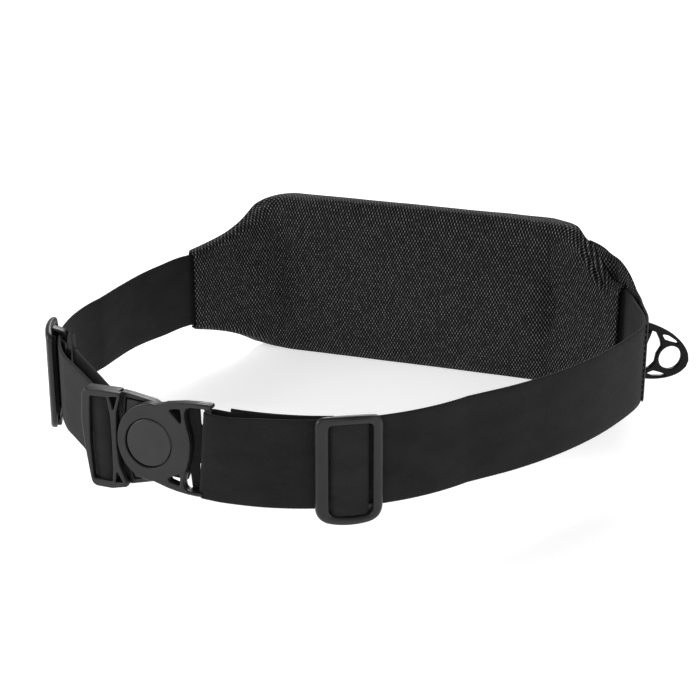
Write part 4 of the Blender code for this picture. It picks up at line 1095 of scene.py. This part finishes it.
# ---- wings ----
def build_left_wing():
    """The smooth outer fabric of the left wing, turned in at its edges."""
    us = spread(-WING_LEFT["body_end"] - GAP, SEAM_LEFT, 14)
    shares = [-1, -0.985, -0.95, -0.88, -0.7, -0.45, -0.2, 0, 0.2, 0.45, 0.7, 0.88, 0.95, 0.985, 1]
    points, uvs = [], []
    for u in us:
        h = back_height(u) + 0.3 * MM
        points.append([pouch_point(u, h * s, 6.9 * MM - 1.2 * MM * abs(s) ** 14) for s in shares])
        uvs.append([(u, h * s) for s in shares])
    wing = thicken(grid("left_wing_outer", points, uvs, "shell_fabric"), SKIN_T)
    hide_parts("left_wing_fabric")
    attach(wing, "pouch_and_belt")


def right_belt_line(steps):
    sewn = [pouch_point(u * MM, 0.0, BELT_DEPTH).xy for u in (116.6, 126, 138, 150)]
    bend = [(156.2, -40.2), (166.0, -64.3), (168.3, -82.2), (163.6, -104), (153.4, -134.8), (138.8, -165)]
    bend = from_mm((*bend, (120.5, -193)))
    first = arc(RIGHT_ARC["centre"], RIGHT_ARC["radius"], RIGHT_FROM, 0.0, 1)[0]
    return catmull([*sewn, *bend, first], steps)


def wing_flap_grid(back_off):
    """Rows of points of the flap's face, back_off further out from the belt than its middle."""
    # as far as the ninth tenth of the belt line's sixth span
    line = right_belt_line(10)[: 10 * 5 + 9]
    run = lengths(line)
    stand_off = [(0, 2.0), (34, 2.1), (50, 4.8), (66, 3.6), (90, 2.2)]
    outline = [(0, 50.0), (13, 48.0), (22, 44.0), (30, 38.0), (38, 31.2), (46, 27.0), (58, 25.7), (80, 25.4)]
    out = offset(line, [read_curve(s / MM, stand_off) * MM + back_off for s in run])
    shares = [-1, -0.985, -0.94, -0.85, -0.7, -0.5, -0.25, 0, 0.25, 0.5, 0.7, 0.85, 0.94, 0.985, 1]
    points, uvs = [], []
    for p, n, s in zip(out, normals_left(line), run):
        h = (read_curve(s / MM, outline) - 0.4) * MM
        fold = 6.5 * MM * bump(s, 21 * MM, 6 * MM)
        row, uv = [], []
        for share in shares:
            z = h * share
            free = fade(abs(z), 24, 8)
            wave = 0.9 * MM * math.sin(s / MM * 0.17 + 1.0) * free
            hollow = fold * fade(z, 18, 8) * fade(z, 46, -8)
            at = p + n * (wave + hollow)
            row.append(Vector((at.x, at.y, z)))
            uv.append((s, z))
        points.append(row)
        uvs.append(uv)
    return points, uvs


def build_right_wing():
    """The flap that wraps the belt behind the right wing: smooth fabric outside, mesh towards the wearer."""
    outer = thicken(grid("right_wing_outer", *wing_flap_grid(0.0), "shell_fabric"), 0.7 * MM)
    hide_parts("right_wing_fabric")
    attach(outer, "pouch_and_belt")
    inner = thicken(grid("right_wing_mesh", *wing_flap_grid(-0.75 * MM), "air_mesh"), 0.5 * MM)
    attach(inner, "pouch_and_belt")


# ---- belts ----
def near_share(path, point, length):
    """1 at a point of the plan and 0 beyond a length from it, for each place on the path."""
    return [1 - smooth(max((p - point).length - 9 * MM, 0.0) / length) for p in path]


def front_share(path):
    """0 where the belt leaves the wings and 1 all round the belt's front."""
    return [fade(p.y, -58, -50) for p in path]


def build_right_belt():
    centre, radius = RIGHT_ARC["centre"], RIGHT_ARC["radius"]
    inner_r = radius - RETURN_INSET
    front_leg = buckle_to_plan(RIGHT_BAR_X + 7 * MM, -RIGHT_FOLD_R)
    end_angle = math.atan2(front_leg.y - centre[1], front_leg.x - centre[0])
    path = right_belt_line(8)[8:-1] + arc(centre, radius, RIGHT_FROM, end_angle, 60)
    bar = buckle_to_plan(RIGHT_BAR_X - 2.5 * MM, 0.0)
    turn = math.pi / 2 + BUCKLE_TURN
    path += arc(bar, RIGHT_FOLD_R, turn, turn + math.pi, 14)[::-1]
    back_leg = buckle_to_plan(RIGHT_BAR_X + 7.4 * MM, RIGHT_FOLD_R)
    start_angle = math.atan2(back_leg.y - centre[1], back_leg.x - centre[0])
    path.append(back_leg)
    path += arc(centre, inner_r, start_angle + 0.06, RIGHT_SPLIT, 14)
    close = near_share(path, bar, 24 * MM)
    front = front_share(path)
    heights = [STRAP_HALF + 0.8 * MM * f - 0.5 * MM * c for f, c in zip(front, close)]
    levels = [-0.3 * MM * f - 0.5 * MM * c for f, c in zip(front, close)]
    lean = [Vector((math.cos(BUCKLE_TURN), math.sin(BUCKLE_TURN))) * 0.085 * c for c in close]
    belt = strap("right_strap", path, heights, STRAP_T, "webbing", z_mid=levels, shear=lean)
    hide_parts("right_belt", "right_belt_fold")
    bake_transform(belt)
    rest = arc(centre, inner_r, RIGHT_SPLIT, RIGHT_SLIDER_AT - 0.03, 20)
    levels = spread(0.9 * MM, -1.3 * MM, len(rest) - 1)
    layer = strap("right_strap_return", rest, STRAP_HALF, STRAP_T, "webbing", z_mid=levels)
    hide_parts("right_belt_return")
    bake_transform(layer)


def build_left_belt():
    centre, radius = LEFT_ARC["centre"], LEFT_ARC["radius"]
    sewn = [pouch_point(u * MM, 0.0, BELT_DEPTH).xy for u in (-136, -148, -162)]
    side = from_mm(((-152, -63.5), (-158.5, -84), (-162, -105)))
    round_part = arc(centre, radius, LEFT_FROM, LEFT_TO, 36)
    bar = buckle_to_plan(LEFT_BAR_X, LEFT_BAR_Y)
    wrap_r = BAR_R + GAP + STRAP_T / 2
    front_from = math.atan2(-0.70, 0.71) + math.pi * 1.5
    path = catmull([*sewn, *side, round_part[0]], 8)[:-1] + round_part
    touch = bar + wrap_r * Vector((math.cos(front_from), math.sin(front_from)))
    straight = touch - round_part[-1]
    path += [round_part[-1] + straight * s for s in (0.2, 0.4, 0.6, 0.8)]
    fold = arc(bar, wrap_r, front_from, front_from + math.pi, 14)
    back_leg = fold[-1] - straight.normalized() * 9 * MM
    inner_arc = arc(centre, radius - RETURN_INSET, LEFT_TO, LEFT_SPLIT, 4)
    path += fold
    path += catmull([fold[-1], back_leg, back_leg.lerp(inner_arc[0], 0.55), inner_arc[0]], 5)[1:-1]
    path += inner_arc
    close = near_share(path, bar, 30 * MM)
    heights = [STRAP_HALF - 1.5 * MM * f + 1.0 * MM * c for f, c in zip(front_share(path), close)]
    sides = [fade(p.y, -50, -20) * fade(p.y, -215, 40) for p in path]
    levels = [-1.4 * MM * c - 1.2 * MM * side for c, side in zip(close, sides)]
    belt = strap("left_strap", path, heights, STRAP_T, "webbing", z_mid=levels)
    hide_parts("left_belt", "left_belt_fold")
    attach(belt, "pouch_and_belt")
    rest = arc(centre, radius - RETURN_INSET, LEFT_SPLIT, LEFT_SLIDER_AT + 0.03, 12)
    layer = strap("left_strap_return", rest, 24.0 * MM, STRAP_T, "webbing")
    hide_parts("left_belt_return")
    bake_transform(layer)


def build_slider_webbing(prefix, track, at, flip):
    """The belt's hump over the slider's middle bar, and its sewn end round that bar."""
    centre, radius = track["centre"], track["radius"]
    shift = Matrix.Rotation(at + math.pi / 2, 4, "Z") @ slider_shift(flip)
    spot = Vector((centre[0] + radius * math.cos(at), centre[1] + radius * math.sin(at), 0.0)) + shift
    place = (spot, at + math.pi / 2)
    body = f"{prefix}_slider_body"

    def sag(x):
        return x * x / (2 * radius)

    crest = [(-9.5, -0.9), (-9.4, -2.1), (-8.9, -3.3), (-7.4, -4.1), (-3.5, -4.5), (0.5, -4.6)]
    crest += [(4.5, -4.5), (8.4, -4.1), (10.0, -3.3), (10.5, -2.1), (10.6, -0.9)]
    path = catmull([Vector((x * flip * MM, y * MM + sag(x * MM))) for x, y in crest], 3)
    name = f"{prefix}_strap_hump"
    # the hump takes the lighter webbing copy, a painted highlight on the raised belt
    hump = strap(name, path, 27.0 * MM, HUMP_T, "painted_highlight_webbing", z_mid=-0.6 * MM, place=place)
    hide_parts(f"{prefix}_belt_hump")
    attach(hump, body)
    near, far = 1.2 * MM + HUMP_T / 2, 5.7 * MM + HUMP_T / 2
    mid, r = (near + far) / 2, (far - near) / 2
    turn = [Vector((4.0 * MM + r * math.sin(a), mid - r * math.cos(a))) for a in spread(0.0, math.pi, 12)]
    under = far - HUMP_T - GAP
    tail = [(-24, under), (-19, under), (-14, under), (-8.5, near + 0.5 * MM), (-4.5, near)]
    outside = [(-4.5, far), (-10, far), (-15, far), (-20.5, far), (-26, far)]
    path = catmull([Vector((x * MM, y)) for x, y in tail], 4) + turn
    path += catmull([Vector((x * MM, y)) for x, y in outside], 3)
    path = [Vector((p.x * flip, p.y + sag(p.x))) for p in path]
    end = strap(f"{prefix}_strap_sewn_end", path, 23.8 * MM, HUMP_T, "webbing", place=place)
    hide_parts(f"{prefix}_belt_sewn_end")
    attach(end, body)
    back = Matrix.Translation(place[0]) @ Matrix.Rotation(place[1], 4, "Z")
    normal = (back.to_3x3() @ Vector((0, 1, 0))).normalized()

    def sewn_at(x, z):
        y = far + HUMP_T / 2 + sag(x * MM)
        return back @ Vector((x * MM * flip, y, z * MM)), normal

    lines = [[sewn_at(x, z) for z in spread(-22, 22, 20)] for x in (-13.0, -21.0)]
    lines += [[sewn_at(x, z) for x in spread(-13.0, -21.0, 6)] for z in (-21.5, 21.5)]
    sewn = stitches(f"{prefix}_bar_tack", lines, length=2.2 * MM)
    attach(sewn, body)


def build_ring():
    """The swinging ring: a bar in the webbing loop, a window beside it, two slots and a round eye."""
    eye = (22.2, 0.6)
    low = [(-1.6, -18.2), (0.5, -18.7), (7.5, -18.2), (15.5, -16.8), (22.4, -14.3), (28.2, -11.0)]
    outline = [(p.x, p.y) for p in catmull([*low, (32.6, -6.8), (35.0, -2.2)], 3)]
    outline += [(x, -z) for x, z in reversed(outline)]
    window = [(1.7, -14.2, 0.8), (6.8, -14.2, 1.0), (11.4, -9.4, 1.6), (13.4, -5.4, 2), (12.4, 0.4, 4)]
    window += [(13.4, 6.2, 2), (11.4, 9.6, 1.6), (6.8, 14.2, 1.0), (1.7, 14.2, 0.8)]
    slot = [(11.2, 14.0, 0.7), (14.8, 10.9, 1.4), (18.8, 10.7, 2), (24.2, 10.9, 0.6), (21.2, 12.7, 2)]
    slot += [(15.6, 14.3, 1.6)]
    holes = [rounded([(x, side * z, r) for x, z, r in slot], 4) for side in (1, -1)]
    holes.append(rounded(window, 4))
    holes.append(oval(eye, 7.2, 7.9, steps=40, lean=0.0))
    ring = plate(outline, -1.8, 1.8, 1.0, holes)
    body = moulding("ring_moulding", [ring], ring_place(), "ring_plastic")
    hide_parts("accessory_ring")
    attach(body, "accessory_ring_body")


def ring_place():
    turn = Matrix.Rotation(RING_TURN, 4, "Z") @ Matrix.Rotation(RING_HANG, 4, "Y")
    rise = Matrix.Translation(RING_PIVOT + Vector((0.0, 0.0, RING_RISE)))
    return rise @ turn


def build_ring_loop():
    """The narrow webbing that goes round the ring's bar and into the wing's seam."""
    way = Vector((math.cos(RING_TURN), math.sin(RING_TURN)))
    across = Vector((-way.y, way.x))
    lean = way * math.tan(RING_HANG)
    r = 4.1 * MM
    bar = RING_PIVOT.xy
    legs = ((-2.6, 2.9), (-3.8, 2.0))
    points = [bar + way * a * MM + across * b * MM for a, b in reversed(legs)]
    points += [bar + way * r * math.sin(t) + across * r * math.cos(t) for t in spread(0, math.pi, 14)]
    points += [bar + way * a * MM - across * b * MM for a, b in legs]
    level = RING_PIVOT.z + RING_RISE
    leans = [lean] * len(points)
    loop = strap("ring_loop_webbing", points, 12.1 * MM, 0.9 * MM, "webbing", level, leans, rows=8)
    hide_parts("ring_webbing_loop")
    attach(loop, "pouch_and_belt")


# ---- zips ----
def build_zip(prefix, z_mid, face, upper_width):
    """Two tapes just behind the skin, with the coil between them."""
    tape_face = face(0.0, z_mid) - SKIN_T - GAP

    def under(z):
        return min(tape_face, face(0.0, z) - SKIN_T - GAP)

    for name, low, high in (
        ("tape_lower", z_mid - 9.0 * MM, z_mid - GAP / 2),
        ("tape_upper", z_mid + GAP / 2, z_mid + upper_width),
    ):
        us = spread(-ZIP_HALF_LENGTH, ZIP_HALF_LENGTH, 40)
        zs = spread(low, high, 8)
        points = [[Vector((u, under(z), z)) for z in zs] for u in us]
        tape = grid(f"{prefix}_{name}_weave", points, [[(u, z) for z in zs] for u in us], "zip_tape")
        modifier(tape, "SOLIDIFY", thickness=0.8 * MM, offset=1.0)
        apply_all(tape)
        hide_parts(f"{prefix}_{name}")
        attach(tape, "pouch_and_belt")
    build_coils(prefix, z_mid, tape_face + GAP)


def build_coils(prefix, z_mid, base):
    """Two rows of interlocked nylon coil loops."""
    reach = [(2.9, 0.5), (2.75, 1.25), (1.5, 1.75), (0.2, 1.6), (-0.75, 1.1), (-0.75, 0.7), (0.2, 0.45)]
    verts, faces = [], []
    pitch = 1.3 * MM
    count = int(2 * (ZIP_HALF_LENGTH - 0.6 * MM) / pitch)
    for k in range(count):
        x = -ZIP_HALF_LENGTH + 0.8 * MM + k * pitch
        for side in (-1, 1):
            shift = pitch / 2 * (side > 0)
            points = [
                Vector((x + shift + 0.12 * MM * i / 6, base + h * MM, z_mid + side * r * MM))
                for i, (r, h) in enumerate(reach)
            ]
            add_tube(verts, faces, points, 0.42 * MM, 5)
    chain = add_mesh(f"{prefix}_coil_loops", verts, faces, "zip_coil")
    face_outward(chain)
    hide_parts(f"{prefix}_chain")
    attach(chain, "pouch_and_belt")


# ---- hidden inside ----
def build_inside():
    """Foam, compartment wall and divider, as soft rounded sheets."""
    for name, node, slot, edge in (
        ("foam_sheet", "back_foam_pad", "foam", 1.6 * MM),
        ("rear_lining", "compartment_back_wall", "lining", 0.4 * MM),
        ("divider_lining", "compartment_divider", "lining", 0.35 * MM),
    ):
        low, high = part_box(node)
        xs = spread(low.x, high.x, 40)
        zs = spread(low.z, high.z, 24)
        thick = high.y - low.y
        mid = (low.y + high.y) / 2
        points = []
        for x in xs:
            row = []
            for z in zs:
                ends = min(x - low.x, high.x - x, z - low.z, high.z - z)
                row.append(Vector((x, mid - thick / 2 + 0.12 * thick * (1 - fade(ends, 0, 6)), z)))
            points.append(row)
        sheet = grid(name, points, [[(x, z) for z in zs] for x in xs], slot)
        modifier(sheet, "SOLIDIFY", thickness=thick * 0.9, offset=1.0)
        modifier(sheet, "BEVEL", width=edge, segments=3, limit_method="ANGLE")
        apply_all(sheet)
        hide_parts(node)
        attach(sheet, "pouch_and_belt")


# ---- carried-over solids ----
def dress_solids():
    """Gives each CAD node that still shows its finished material."""
    slots = {
        "steel": ("receiver_magnet", "disc_magnet"),
        "zip_metal": tuple(
            f"{zip_name}_{part}"
            for zip_name in ("main_zip", "pocket_zip")
            for part in ("stop_left", "stop_right", "slider", "pull")
        ),
    }
    for slot, names in slots.items():
        for name in names:
            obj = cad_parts[name]
            for holder in obj.material_slots:
                holder.material = MATS[slot]


# ---- seams on the wearer's side ----
def build_wing_stitching():
    """Two rows of stitches where each belt is sewn into its wing."""
    lines = []
    inset = 3.0 * MM
    for seam in (SEAM_LEFT, SEAM_RIGHT):
        side = 1 if seam > 0 else -1
        for step in (inset, inset + 5 * MM):
            u = seam - side * step
            h = back_height(u) - 3 * MM
            half, _, _, swell = pad_shape(u)
            line = []
            for z in spread(-h, h, 20):
                p = pouch_point(u, z, -swell * (1 - (z / half) ** 2))
                n = (pouch_point(u, z, -1.0) - pouch_point(u, z, 0.0)).normalized()
                line.append((p + n * 0.1 * MM, n))
            lines.append(line)
    sewn = stitches("wing_stitching", lines)
    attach(sewn, "pouch_and_belt")


# ---- stage ----
def build_stage():
    """Pale floor, soft lights and the camera."""
    scene = bpy.context.scene
    scene.view_settings.view_transform = "Standard"
    scene.view_settings.look = "None"
    world = bpy.data.worlds.new("studio")
    world.use_nodes = True
    back = world.node_tree.nodes["Background"]
    back.inputs["Color"].default_value = WHITE
    back.inputs["Strength"].default_value = 0.3
    scene.world = world

    floor_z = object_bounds()[0][2] - 0.4 * MM
    half = 6.0
    corners = [(x * half, y * half, floor_z) for x, y in ((-1, -1), (1, -1), (1, 1), (-1, 1))]
    mesh = bpy.data.meshes.new("floor")
    mesh.from_pydata(corners, [], [(0, 1, 2, 3)])
    floor = placed("floor", mesh)
    paint = Shader("pale_floor", 0.9, specular=0.1)
    grain = paint.noise(paint.coords("Object"), 30.0, 2.0)
    paint.bsdf.inputs["Emission Color"].default_value = WHITE
    paint.bsdf.inputs["Emission Strength"].default_value = 0.5
    mesh.materials.append(paint.finish(paint.mix(grain, (0.90, 0.90, 0.90), (0.92, 0.92, 0.92))))

    def softbox(name, place, target, width, height, power):
        light = bpy.data.lights.new(name, "AREA")
        light.shape = "RECTANGLE"
        light.size, light.size_y = width, height
        light.energy = power
        obj = placed(name, light)
        obj.location = place
        obj.rotation_euler = (Vector(target) - Vector(place)).to_track_quat("-Z", "Y").to_euler()

    softbox("behind_above", (-0.3, 1.5, 1.15), (0.0, -0.1, 0.0), 1.4, 0.8, 26.0)
    softbox("left_side", (-1.4, -0.7, 0.6), (-0.1, -0.2, 0.0), 0.9, 0.9, 12.0)
    softbox("right_side", (1.5, -0.5, 0.6), (0.1, -0.2, 0.0), 0.9, 0.9, 6.0)
    softbox("front", (0.2, -1.8, 0.8), (0.0, -0.1, 0.0), 1.0, 0.6, 6.0)

    cam = bpy.data.cameras.new("camera")
    cam.lens = CAMERA_LENS
    cam.sensor_width = 36.0
    cam.clip_end = 50.0
    camera = placed("camera", cam)
    camera.location = CAMERA_AT
    camera.rotation_euler = CAMERA_LOOKS.to_track_quat("-Z", "Y").to_euler()
    scene.camera = camera


def main():
    build_stage()
    build_pad()
    build_shell()
    build_pocket()
    build_left_wing()
    build_right_wing()
    build_right_belt()
    build_left_belt()
    build_slider_webbing("right", RIGHT_ARC, RIGHT_SLIDER_AT, 1)
    build_slider_webbing("left", LEFT_ARC, LEFT_SLIDER_AT, -1)
    build_receiver()
    build_disc_half()
    build_belt_slider("right", RIGHT_ARC, RIGHT_SLIDER_AT, 1)
    build_belt_slider("left", LEFT_ARC, LEFT_SLIDER_AT, -1)
    build_ring()
    build_ring_loop()
    build_zip("main_zip", MAIN_ZIP_Z, skin_depth, 9.0 * MM)
    build_zip("pocket_zip", POCKET_ZIP_Z, pocket_face, 5.4 * MM)
    build_inside()
    build_wing_stitching()
    dress_solids()


main()
